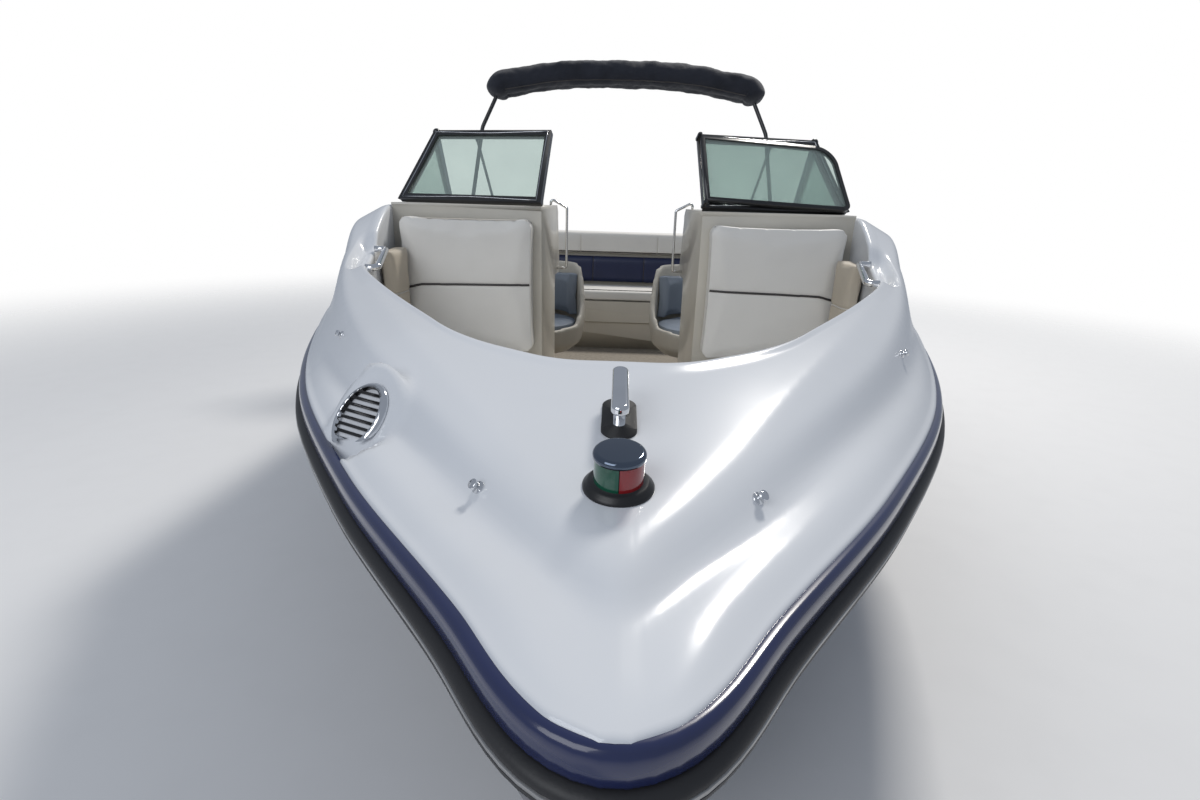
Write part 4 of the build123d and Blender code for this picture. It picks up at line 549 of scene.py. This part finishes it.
# ---------------------------------------------------------------- cushions and pads
def loose_parts(obj):
    """Vertex and face lists of an object's separate solids."""
    mesh = obj.data
    home = list(range(len(mesh.vertices)))

    def root(i):
        while home[i] != i:
            home[i] = home[home[i]]
            i = home[i]
        return i
    spots = {}
    for v in mesh.vertices:
        key = (round(v.co.x, 5), round(v.co.y, 5), round(v.co.z, 5))
        home[root(v.index)] = root(spots.setdefault(key, v.index))
    for e in mesh.edges:
        home[root(e.vertices[0])] = root(e.vertices[1])
    groups = {}
    for p in mesh.polygons:
        groups.setdefault(root(p.vertices[0]), []).append(p)
    made = []
    for key in sorted(groups, key=lambda k: min(p.index for p in groups[k])):
        used = {}
        faces = []
        for p in groups[key]:
            faces.append([used.setdefault(i, len(used)) for i in p.vertices])
        verts = [None] * len(used)
        for i, k in used.items():
            verts[k] = mesh.vertices[i].co.copy()
        made.append((verts, faces))
    return made


def apply_all(obj):
    """Replaces the mesh by its evaluated one and drops the modifiers."""
    deps = bpy.context.evaluated_depsgraph_get()
    mesh = bpy.data.meshes.new_from_object(obj.evaluated_get(deps))
    obj.modifiers.clear()
    old = obj.data
    obj.data = mesh
    bpy.data.meshes.remove(old)


def bowed(t):
    """1 in the middle of a side, 0 at its corners."""
    return max(0.0, 1.0 - (2 * t - 1) ** 2)


cloth_frames = 20
cloth_pressure = 4.0
# How far a pad may pass its solid's box, and from what half thickness and share of it a side is drawn in.
pad_room = 0.004
thick_half = 0.05
outer_share = 0.7


def swell_as_cloth(obj):
    """Runs the closed mesh as cloth under pressure and keeps its last shape."""
    cloth = obj.modifiers.new("cloth", "CLOTH")
    cloth.settings.quality = 4
    cloth.settings.mass = 0.3
    cloth.settings.use_pressure = True
    cloth.settings.uniform_pressure_force = cloth_pressure
    cloth.settings.effector_weights.gravity = 0.0
    cloth.settings.tension_stiffness = 15.0
    cloth.settings.compression_stiffness = 15.0
    cloth.settings.bending_stiffness = 0.6
    cloth.collision_settings.use_collision = False
    cloth.point_cache.frame_start = 1
    cloth.point_cache.frame_end = cloth_frames
    scene = bpy.context.scene
    for frame_number in range(1, cloth_frames + 1):
        scene.frame_set(frame_number)
    apply_all(obj)
    scene.frame_set(1)


def make_pad(name, verts, faces, material, voxel, cap, inset, pull, swell):
    """Padded piece that fills a plain solid: remeshed, shrunk by inset, swollen by up to cap, then subdivided.

    The middles of its thick sides are drawn in by pull before it swells."""
    obj = add_mesh(name, verts, faces)
    bm = bmesh.new()
    bm.from_mesh(obj.data)
    bmesh.ops.remove_doubles(bm, verts=bm.verts, dist=0.0001)
    bmesh.ops.recalc_face_normals(bm, faces=bm.faces)
    low = Vector(min(v.co[i] for v in bm.verts) for i in range(3))
    high = Vector(max(v.co[i] for v in bm.verts) for i in range(3))
    middle, half = (low + high) / 2, (high - low) / 2
    bm.to_mesh(obj.data)
    bm.free()
    remesh = obj.modifiers.new("remesh", "REMESH")
    remesh.mode = "VOXEL"
    remesh.voxel_size = voxel
    apply_all(obj)
    inner = bmesh.new()
    inner.from_mesh(obj.data)
    for _ in range(3):
        bmesh.ops.smooth_vert(inner, verts=inner.verts, factor=0.5, use_axis_x=True, use_axis_y=True,
                              use_axis_z=True)
    inner.normal_update()
    for v in inner.verts:
        v.co -= v.normal * inset
        for i in range(3):
            a, b = (i + 1) % 3, (i + 2) % 3
            side = (v.co[i] - middle[i]) / max(half[i], 1e-6)
            share_a, share_b = [bowed((v.co[j] - low[j]) / max(2 * half[j], 1e-6)) for j in (a, b)]
            if abs(side) > outer_share and half[i] > thick_half:
                v.co[i] -= math.copysign(pull * (share_a * share_b), side)
    inner.to_mesh(obj.data)
    inner.free()
    start = [v.co.copy() for v in obj.data.vertices]
    if swell:
        swell_as_cloth(obj)
    else:
        swollen = [v.co + v.normal * (cap * 0.5) for v in obj.data.vertices]
        for v, place in zip(obj.data.vertices, swollen):
            v.co = place
    flat = []
    for v, home in zip(obj.data.vertices, start):
        place, move = v.co, v.co - home
        if move.length > cap:
            place = home + move.normalized() * cap
        flat += [min(max(place[i], low[i] - pad_room), high[i] + pad_room) for i in range(3)]
    obj.data.vertices.foreach_set("co", flat)
    obj.data.update()
    smoother = obj.modifiers.new("smooth", "SMOOTH")
    smoother.iterations = 2
    divide = obj.modifiers.new("divide", "SUBSURF")
    divide.levels = 1
    divide.render_levels = 1
    apply_all(obj)
    obj.data.materials.clear()
    obj.data.materials.append(material)
    obj.data.polygons.foreach_set("use_smooth", [True] * len(obj.data.polygons))
    return obj


def groove(obj, line, width, depth):
    """Presses a sewn seam into a pad along a line of close points."""
    tree = kdtree.KDTree(len(line))
    for k, p in enumerate(line):
        tree.insert(p, k)
    tree.balance()
    moves = []
    for v in obj.data.vertices:
        near = tree.find(v.co)[2]
        if near < 3 * width:
            moves.append((v, v.normal * (depth * math.exp(-(near / width) ** 2))))
    for v, move in moves:
        v.co -= move
    obj.data.update()


def tube(name, path, radius, material, sides=8, closed=False):
    """Round tube along a path, with capped ends unless it closes on itself."""
    points = [Vector(p) for p in path]
    count = len(points)
    verts = []
    for i, p in enumerate(points):
        ahead = points[(i + 1) % count] if closed or i < count - 1 else p
        behind = points[i - 1] if closed or i > 0 else p
        along = (ahead - behind).normalized()
        side = along.cross(Vector((0, 0, 1)))
        if side.length < 0.05:
            side = along.cross(Vector((1, 0, 0)))
        side.normalize()
        top = side.cross(along).normalized()
        for k in range(sides):
            a = 2 * math.pi * k / sides
            verts.append(p + (side * math.cos(a) + top * math.sin(a)) * radius)
    made = add_mesh(name, verts, ring_faces(count, sides, closed), material)
    made.data.validate()
    return made


def onto(obj, line, direction, lift):
    """Drops a line of points onto a piece's surface along a direction."""
    bpy.context.view_layer.update()
    way = Vector(direction).normalized()
    made = []
    ahead = 0.4
    for p in line:
        hit, place, normal, _ = obj.ray_cast(Vector(p) - way * ahead, way)
        if hit:
            made.append(place + normal * lift)
    return made


def join(name, objs):
    """One object out of several, keeping their materials."""
    mesh = bpy.data.meshes.new(name)
    bm = bmesh.new()
    slots = []
    for o in objs:
        first = len(bm.faces)
        bm.from_mesh(o.data)
        bm.faces.ensure_lookup_table()
        for f in bm.faces[first:]:
            mat = o.data.materials[min(f.material_index, len(o.data.materials) - 1)]
            if mat not in slots:
                slots.append(mat)
            f.material_index = slots.index(mat)
            f.smooth = True
    bm.to_mesh(mesh)
    bm.free()
    for mat in slots:
        mesh.materials.append(mat)
    for o in objs:
        bpy.data.objects.remove(o)
    return add_object(name, mesh)


piping_dark = shader("piping_dark", (0.05, 0.045, 0.045), rough=0.5, fleck=0.2, grain=0.0005, grain_scale=500.0)
piping_pale = shader("piping_pale", (0.62, 0.59, 0.54), rough=0.5, fleck=0.1, grain=0.0005, grain_scale=500.0)
groove_width = 0.007
groove_depth = 0.004


def dress(node, body, material, voxel, cap, inset, pull, lines=None, swell=True):
    """Pads for each solid of a CAD cushion node; lines gives each pad's seams: (points, way, radius, material)."""
    for k, (verts, faces) in enumerate(loose_parts(nodes[node])):
        pad = make_pad(f"{node}_pad_{k}", verts, faces, material, voxel, cap, inset, pull, swell)
        low = Vector(min(v[i] for v in verts) for i in range(3))
        high = Vector(max(v[i] for v in verts) for i in range(3))
        for m, (line, way, radius, cord) in enumerate(lines(low, high) if lines else []):
            seam = onto(pad, line, way, 0.0)
            if len(seam) < 3:
                continue
            groove(pad, resample(seam, 4 * len(seam)), groove_width, groove_depth)
            bead = tube(f"{node}_seam_{k}_{m}", onto(pad, line, way, radius * 0.4), radius, cord)
            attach(bead, body)
        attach(pad, body)
        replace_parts(pad, node)


# ---------------------------------------------------------------- bands round the edge
def rim_line():
    """The decks' rim from the starboard quarter round the nose to the port quarter, with outward normals."""
    tip_y, tip_half = rim_rows[0]
    half = [Vector((0.0, nose_y, 0.0)), Vector((tip_half, tip_y, 0.0))]
    steps = 159
    for k in range(1, steps + 1):
        y = tip_y + (stern_y - tip_y) * (k / steps) ** 1.6
        half.append(Vector((fair(rim_rows, y)[0], y, 0.0)))
    points = resample([Vector((-p.x, p.y, 0.0)) for p in reversed(half[1:])] + half, 560)
    for _ in range(4):
        inside = [(a + 2 * b + c) / 4 for a, b, c in zip(points, points[1:], points[2:])]
        points = [points[0]] + inside + [points[-1]]
    normals = []
    for k in range(len(points)):
        along = points[min(k + 1, len(points) - 1)] - points[max(k - 1, 0)]
        normals.append(Vector((along.y, -along.x, 0.0)).normalized())
    within = Vector((0, 1.0, 0))
    return points, [-n if n.dot(p - within) < 0 else n for n, p in zip(normals, points)]


def edge_ring(name, profile, material, node):
    """Closed profile of (offset, height) swept round the rim."""
    points, normals = rim_line()
    verts = [p + n * d + Vector((0, 0, z)) for p, n in zip(points, normals) for d, z in profile]
    ring = add_mesh(name, verts, ring_faces(len(points), len(profile)), material)
    turn_outward(ring.data)
    ring.data.set_sharp_from_angle(angle=math.radians(50))
    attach(ring, "boat")
    if node:
        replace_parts(ring, node)


rail_silver = shader("rail_silver", (0.42, 0.42, 0.42), rough=0.35, metal=0.8, fleck=0.35, fleck_scale=14.0,
                     grain=0.0004, grain_scale=300.0)
# Each profile as (offset out from the rim, height).
edge_ring("band_skin", [(-0.003, 0.8385), (0.005, 0.8400), (0.010, 0.8385), (0.0135, 0.834), (0.0150, 0.827),
                        (0.0150, 0.806), (0.0130, 0.8015), (0.006, 0.8005), (-0.003, 0.8005)],
          navy_band, "sheer_band")
edge_ring("rail_skin", [(-0.002, 0.8000), (0.014, 0.8000), (0.0215, 0.7975), (0.0258, 0.7925), (0.0262, 0.788),
                        (0.0245, 0.7865), (0.0245, 0.7795), (0.0262, 0.778), (0.0258, 0.7735), (0.0215, 0.7685),
                        (0.014, 0.7665), (-0.002, 0.7665)], rail_black, "rub_rail")
edge_ring("rail_insert", [(0.0240, 0.7862), (0.0268, 0.7852), (0.0275, 0.7830), (0.0268, 0.7808), (0.0240, 0.7798)],
          rail_silver, None)


# ---------------------------------------------------------------- upholstery
# Ways along which a seam is dropped onto a pad.
aft = (0, 1, 0)
down = (0, 0, -1)


def sign(low, high):
    """Side of the boat that a box stands on: 1 is port, -1 starboard."""
    return 1.0 if low.x + high.x > 0 else -1.0


def spaced(a, b, count=40):
    """Even points on a straight line."""
    a, b = Vector(a), Vector(b)
    return [a.lerp(b, k / (count - 1)) for k in range(count)]


def bend(points, count=60):
    """Even points on a bent line."""
    return resample([Vector(p) for p in points], count)


def backrest_lines(low, high):
    """Dark piping across the face, dipping at its outboard end, and a pale bead round the face's edge."""
    s = sign(low, high)
    inner, outer = (low.x, high.x) if s > 0 else (high.x, low.x)
    z = 0.926
    across = bend([(inner + s * 0.004, low.y, z + 0.004), (inner + s * 0.30, low.y, z),
                   (outer - s * 0.10, low.y, z - 0.004), (outer - s * 0.03, low.y, z - 0.022),
                   (outer - s * 0.004, low.y, z - 0.05)])
    margin, r = 0.020, 0.040
    left, right = low.x + margin + r, high.x - margin - r
    bottom, top = low.z + margin + r, high.z - margin - r
    ring = []
    for cx, cz, turn in ((right, top, 0), (left, top, 90), (left, bottom, 180), (right, bottom, 270)):
        ring += [(cx + r * math.cos(math.radians(turn + t)), low.y, cz + r * math.sin(math.radians(turn + t)))
                 for t in range(0, 91, 15)]
    welt = bend(ring + ring[:1], 150)
    return [(across, aft, 0.0042, piping_dark), (welt, aft, 0.0026, piping_pale)]


def seat_lines(low, high):
    """Welts along a bow seat's walkway edge, across it, and along the hull side."""
    s = sign(low, high)
    edge = bend([(s * 0.165, -1.845, high.z), (s * 0.292, -1.515, high.z), (s * 0.292, -0.90, high.z)])
    cross = spaced((s * 0.30, -1.32, high.z), (s * 0.86, -1.32, high.z))
    rim = bend([(s * 0.05, -2.13, high.z), (s * 0.30, -2.02, high.z), (s * 0.53, -1.73, high.z),
                (s * 0.765, -1.37, high.z), (s * 0.835, -1.06, high.z), (s * 0.845, -0.92, high.z)])
    return [(edge, down, 0.0035, piping_pale), (cross, down, 0.003, piping_pale), (rim, down, 0.0035, piping_pale)]


def bolster_lines(low, high):
    """Welt along the middle of a side bolster."""
    s = sign(low, high)
    return [(spaced((s * 0.80, low.y + 0.01, 0.90), (s * 0.80, high.y - 0.01, 0.90)), (s, 0, 0), 0.003, piping_pale)]


def bench_lines(low, high):
    """Welts between the bench's three places, and dark piping along its front."""
    front = low.y + 0.05
    made = [(spaced((x, low.y + 0.01, high.z), (x, high.y - 0.01, high.z)), down, 0.003, piping_pale)
            for x in (-0.3, 0.3)]
    return made + [(spaced((low.x + 0.03, front, high.z), (high.x - 0.03, front, high.z)), down, 0.0035, piping_dark)]


def panel_lines(low, high):
    """Upright welts on the navy backrest."""
    return [(spaced((x, low.y, low.z + 0.01), (x, low.y, high.z - 0.01)), aft, 0.0028, piping_dark)
            for x in (-0.58, -0.2, 0.2, 0.58)]


def cap_lines(low, high):
    """Upright welts on the backrest's cap, and dark piping along its lower edge."""
    foot = low.z + 0.014
    made = [(spaced((x, low.y, low.z + 0.012), (x, low.y, high.z - 0.03)), aft, 0.0028, piping_pale)
            for x in (-0.3, 0.3)]
    return made + [(spaced((low.x + 0.02, low.y, foot), (high.x - 0.02, low.y, foot), 90), aft, 0.004, piping_dark)]


def sunpad_lines(low, high):
    """Welts that divide the sunpad in six."""
    cross_y = 2.12
    made = [(spaced((x, low.y + 0.02, high.z), (x, high.y - 0.02, high.z)), down, 0.003, piping_pale)
            for x in (-0.2, 0.2)]
    return made + [(spaced((low.x + 0.02, cross_y, high.z), (high.x - 0.02, cross_y, high.z)), down, 0.003,
                    piping_pale)]


# Node, body, material, then voxel, cap, inset and pull, then its seams.
dress("bow_backrests", "boat", vinyl_white, 0.011, 0.014, 0.009, 0.008, backrest_lines)
dress("bow_seat_cushions", "boat", vinyl_white, 0.015, 0.014, 0.009, 0.004, seat_lines)
dress("bow_bolsters", "boat", vinyl_beige, 0.008, 0.008, 0.005, 0.002, bolster_lines)
dress("bench_cushion", "boat", vinyl_white, 0.017, 0.012, 0.008, 0.004, bench_lines)
dress("backrest_panel", "boat", vinyl_navy, 0.015, 0.010, 0.007, 0.003, panel_lines)
dress("backrest_cap", "boat", vinyl_white, 0.015, 0.010, 0.007, 0.004, cap_lines)
dress("sunpad", "hatch", vinyl_white, 0.017, 0.012, 0.008, 0.004, sunpad_lines)
for side in ("starboard", "port"):
    dress("seat_cushion_" + side, "seat_" + side, vinyl_blue, 0.011, 0.012, 0.008, 0.0)
    dress("seat_shell_" + side, "seat_" + side, shell_cream, 0.0155, 0.004, 0.003, 0.0, swell=False)


# ---------------------------------------------------------------- folded top in its boot
def make_boot():
    """Canvas roll in its boot along the arch, gathered into soft wrinkles round the roll."""
    lean = math.radians(14.0)
    tilt = Vector((0.0, math.sin(lean), math.cos(lean)))
    foot = Vector((0.0, 0.900, 1.0664))
    # Half breadth of the roll's middle line, and its distance from the foot along the lean.
    arch = [(0.848, 0.835), (0.826, 0.912), (0.430, 0.985), (0.0, 1.000)]
    half = [Vector((x, 0.0, 0.0)) + foot + tilt * r for x, r in arch]
    line = [Vector((-p.x, p.y, p.z)) for p in half[:-1]] + list(reversed(half))
    path = resample(rounded_line(line, [0.045, 0.16, 0.3, 0.16, 0.045], 14), 190)
    # Points around the roll, and the one that the zip runs along.
    around, zip_side = 44, 38
    half_wide, half_tall = 0.088, 0.074
    squareness = 2.6
    end_round, end_size = 0.05, 0.16
    spacing = 0.0105
    rows = []
    for i, p in enumerate(path):
        along = (path[min(i + 1, len(path) - 1)] - path[max(i - 1, 0)]).normalized()
        out = (tilt - along * tilt.dot(along)).normalized()
        wide = along.cross(out).normalized()
        from_end = min(i, len(path) - 1 - i) * spacing
        close = math.sqrt(max(0.0, 1.0 - (1.0 - min(1.0, from_end / end_round)) ** 2))
        size = end_size + (1.0 - end_size) * close
        row = []
        for k in range(around):
            a = 2 * math.pi * k / around
            c, s = math.cos(a), math.sin(a)
            r = 1.0 / (abs(c) ** squareness + abs(s) ** squareness) ** (1 / squareness)
            wave = noise.noise(Vector((p.x * 9.0, c * 1.3 + 4.0, s * 1.3))) * 0.007
            wave += noise.noise(Vector((p.x * 30.0, c * 2.4, s * 2.4 + 7.0))) * 0.003
            tuck = 0.006 * math.exp(-((a - math.pi * 1.5) / 0.18) ** 2)
            row.append(p + (wide * c * (half_wide * r) + out * s * (half_tall * r)) * size
                       + (wide * c + out * s) * (wave - tuck) * close)
        rows.append(row)
    roll = add_mesh("boot_roll", [q for row in rows for q in row], ring_faces(len(rows), around), canvas)
    turn_outward(roll.data)
    seam = [row[zip_side] + (row[zip_side] - p) * 0.01 for row, p in zip(rows[8:-8], path[8:-8])]
    zipper = tube("boot_zip", seam, 0.0032, piping_dark)
    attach(zipper, "top")
    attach(roll, "top")
    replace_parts(roll, "top_boot")


make_boot()


# ---------------------------------------------------------------- rigid nodes with smooth shading
def polish(node, pick=None):
    """Copy of a CAD node with smooth rounds and crisp edges; pick chooses a material for each face."""
    source = nodes[node]
    mesh = source.data.copy()
    mesh.name = node + "_skin"
    mesh.materials.clear()
    bm = bmesh.new()
    bm.from_mesh(mesh)
    bmesh.ops.remove_doubles(bm, verts=bm.verts, dist=0.00002)
    mats = []
    for f in bm.faces:
        f.smooth = True
        mat = pick(f.calc_center_median()) if pick else looks[node]
        if mat not in mats:
            mats.append(mat)
        f.material_index = mats.index(mat)
    for mat in mats:
        mesh.materials.append(mat)
    bm.to_mesh(mesh)
    bm.free()
    mesh.set_sharp_from_angle(angle=math.radians(35.0))
    made = add_object(node + "_skin", mesh)
    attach(made, body_of(source)[0])
    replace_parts(made, node)


lens_red = shader("lens_red", (0.30, 0.012, 0.015), rough=0.12, coat=0.8, fleck=0.3, fleck_scale=30.0)
lens_green = shader("lens_green", (0.008, 0.10, 0.055), rough=0.12, coat=0.8, fleck=0.3, fleck_scale=30.0)
cap_dark = shader("cap_dark", (0.10, 0.13, 0.18), rough=0.05, metal=0.9, coat=0.6, fleck=0.2)
rubber = shader("gasket_rubber", (0.014, 0.014, 0.015), rough=0.55, grain=0.0005, grain_scale=300.0)
# Dark metal on the horn grille's inner slats is painted shade: it stands for the shaded hollow of the grille, whose
# slats are chrome like its ring.
slat_painted_shade = shader("slat_painted_shade", (0.05, 0.05, 0.052), rough=0.2, metal=0.7, fleck=0.4, fleck_scale=30.0)


def off_axis(point):
    """Distance of a point from the horn grille's axis, with the oval's long way shortened."""
    away = point - grille_middle
    flat = away - grille_face * away.dot(grille_face)
    tall = (Vector((0, 0, 1)) - grille_face * grille_face.z).normalized()
    rise = flat.dot(tall)
    return math.hypot(rise * 0.82, (flat - tall * rise).length)


def cleat_gasket_top(y):
    """Height of the top of the gasket under the bow cleat, on the sloping deck."""
    return 0.9445 + (y + 2.4) * 0.14


# Material of a face by its centre, where it isn't the node's own.
picks = {
    "bow_light_lenses": lambda c: lens_green if c.x < 0 else lens_red,
    "bow_light_cap": lambda c: cap_dark,
    # The horn grille's inner slats get the painted shade of its hollow, and the ring stays chrome.
    "horn_grille": lambda c: slat_painted_shade if off_axis(c) < 0.043 else chrome,
    "bow_cleat": lambda c: rubber if c.z < cleat_gasket_top(c.y) else chrome,
}
replaced = {n for obj in bpy.data.objects for n in obj.get("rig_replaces", [])}
for name in sorted(nodes):
    if name not in replaced:
        polish(name, picks.get(name))


# ---------------------------------------------------------------- trim on the windshield and dash
bead_silver = shader("bead_silver", (0.55, 0.56, 0.58), rough=0.25, metal=1.0, fleck=0.2, fleck_scale=20.0)


def make_windshield_trim():
    """Thin bright bead along the front face of each fixed panel's rail, both sides."""
    foot, head = Vector((0.314, -0.862, 1.228)), Vector((0.290, -0.655, 1.502))
    corner = Vector((0.905, -0.705, 1.228))
    across = (corner - foot).normalized()
    normal = across.cross(head - foot).normalized()
    if normal.y > 0:
        normal.negate()
    rise = normal.cross(across).normalized()
    if rise.z < 0:
        rise.negate()
    loop = [foot, corner, foot + across * 0.556 + rise * 0.342, head]
    middle = sum(loop, Vector()) / 4
    drawn_in, proud, steps = 0.015, 0.0135, 12
    beads = []
    for s in (-1.0, 1.0):
        ring = []
        for a, b in zip(loop, loop[1:] + loop[:1]):
            for k in range(steps):
                p = a.lerp(b, k / steps)
                p = p + (middle - p).normalized() * drawn_in + normal * proud
                ring.append(Vector((s * p.x, p.y, p.z)))
        beads.append(tube("bead", ring, 0.0022, bead_silver, 6, closed=True))
    trim = join("windshield_trim", beads)
    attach(trim, "boat")


make_windshield_trim()


def make_dials():
    """Dark dials with pale ticks and a needle on the two dash gauges."""
    dial = shader("dial_face", (0.03, 0.032, 0.036), rough=0.4, fleck=0.2)
    mark = shader("dial_mark", (0.75, 0.75, 0.72), rough=0.5, fleck=0.1)
    dash_foot, dash_top, dash_share = (-0.095, 0.905), (-0.180, 1.160), 0.42
    dial_rise, dial_proud, dial_radius, points = 0.072, 0.0052, 0.0405, 48
    side = Vector((1, 0, 0))
    marks = []
    for x in (-0.74, -0.44):
        low, top = Vector((x, *dash_foot)), Vector((x, *dash_top))
        up = (top - low).normalized()
        out = side.cross(up)
        if out.y < 0:
            out.negate()
        centre = low + (top - low) * dash_share + up * dial_rise + out * dial_proud

        def ray(degrees):
            """Direction on the dial's face."""
            return side * math.cos(math.radians(degrees)) + up * math.sin(math.radians(degrees))

        disc = [centre + ray(360 * k / points) * dial_radius for k in range(points)]
        face = add_mesh("dial", disc + [centre + out * 0.0008], [(k, (k + 1) % points, points) for k in range(points)],
                        dial)
        marks.append(face)
        for k in range(13):
            way, inner = ray(225 - 22.5 * k), 0.029 if k % 3 == 0 else 0.033
            base = centre + out * 0.001
            marks.append(tube("tick", [base + way * inner, base + way * 0.038], 0.0007, mark, 4))
        way, base = ray(205), centre + out * 0.0025
        marks.append(tube("needle", [base - way * 0.006, base + way * 0.030], 0.0009, mark, 5))
        marks.append(tube("hub", [centre + out * 0.001, centre + out * 0.0045], 0.004, mark, 16))
    dials = join("dash_dials", marks)
    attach(dials, "boat")


make_dials()


# ---------------------------------------------------------------- camera and light
def place_camera():
    """Wide lens ahead of the bow, as the photograph was taken."""
    data = bpy.data.cameras.new("camera")
    data.lens = 18.03
    data.sensor_width = 36.0
    data.clip_start = 0.05
    camera = add_object("camera", data)
    pitch, roll, yaw = math.radians(18.4), math.radians(1.7), math.radians(1.2)
    turn = Matrix.Rotation(yaw, 4, "Z") @ Matrix.Rotation(math.pi / 2 - pitch, 4, "X") @ Matrix.Rotation(roll, 4, "Z")
    camera.matrix_world = Matrix.Translation((-0.012, -3.27, 1.25)) @ turn
    bpy.context.scene.camera = camera


def area_light(name, place, aim, size, power, color):
    """Square lamp aimed at a point."""
    data = bpy.data.lights.new(name, "AREA")
    data.shape = "RECTANGLE"
    data.size = data.size_y = size
    data.energy = power
    data.color = color
    lamp = add_object(name, data)
    lamp.location = place
    lamp.rotation_mode = "QUATERNION"
    lamp.rotation_quaternion = (Vector(aim) - Vector(place)).to_track_quat("-Z", "Y")


def place_lights():
    """Pale sky that the camera sees as plain white, a warm key lamp and a wide fill."""
    world = bpy.data.worlds.new("world")
    bpy.context.scene.world = world
    tree = blank_tree(world)
    out = add_node(tree, "OutputWorld")
    sky = add_node(tree, "Background", Color=(0.78, 0.86, 1.0, 1.0), Strength=0.36)
    plain = add_node(tree, "Background", Color=(1.0, 1.0, 1.0, 1.0), Strength=1.0)
    path = add_node(tree, "LightPath")
    mix = add_node(tree, "MixShader")
    tree.links.new(path.outputs["Is Camera Ray"], mix.inputs[0])
    tree.links.new(sky.outputs[0], mix.inputs[1])
    tree.links.new(plain.outputs[0], mix.inputs[2])
    tree.links.new(mix.outputs[0], out.inputs[0])
    area_light("key", (2.6, 3.4, 7.0), (0.0, -1.6, 0.8), 1.3, 440.0, (1.0, 0.96, 0.9))
    area_light("fill", (-4.0, -7.0, 5.0), (0.0, -0.5, 0.8), 5.0, 190.0, (0.95, 0.97, 1.0))


def place_floor():
    """Pale floor at the waterline that fades into the white background."""
    half, fade_start, fade_end = 14.0, 3.0, 8.5
    corners = [(-half, -half, 0), (half, -half, 0), (half, half, 0), (-half, half, 0)]
    pale = shader("floor_pale", (0.86, 0.86, 0.86), rough=0.8, fleck=0.02)
    floor = add_mesh("floor", corners, [(0, 1, 2, 3)], pale)
    tree = pale.node_tree
    body = next(n for n in tree.nodes if n.type == "BSDF_PRINCIPLED")
    out = next(n for n in tree.nodes if n.type == "OUTPUT_MATERIAL")
    reach = tree.nodes.new("ShaderNodeVectorMath")
    reach.operation = "LENGTH"
    tree.links.new(add_node(tree, "TexCoord").outputs["Object"], reach.inputs[0])
    fade = tree.nodes.new("ShaderNodeMapRange")
    fade.interpolation_type = "SMOOTHSTEP"
    fade.inputs["From Min"].default_value = fade_start
    fade.inputs["From Max"].default_value = fade_end
    tree.links.new(reach.outputs["Value"], fade.inputs["Value"])
    clear = add_node(tree, "BsdfTransparent")
    mix = add_node(tree, "MixShader")
    tree.links.new(fade.outputs["Result"], mix.inputs[0])
    tree.links.new(body.outputs[0], mix.inputs[1])
    tree.links.new(clear.outputs[0], mix.inputs[2])
    tree.links.new(mix.outputs[0], out.inputs[0])


place_camera()
place_lights()
place_floor()
bpy.context.scene.view_settings.view_transform = "Standard"
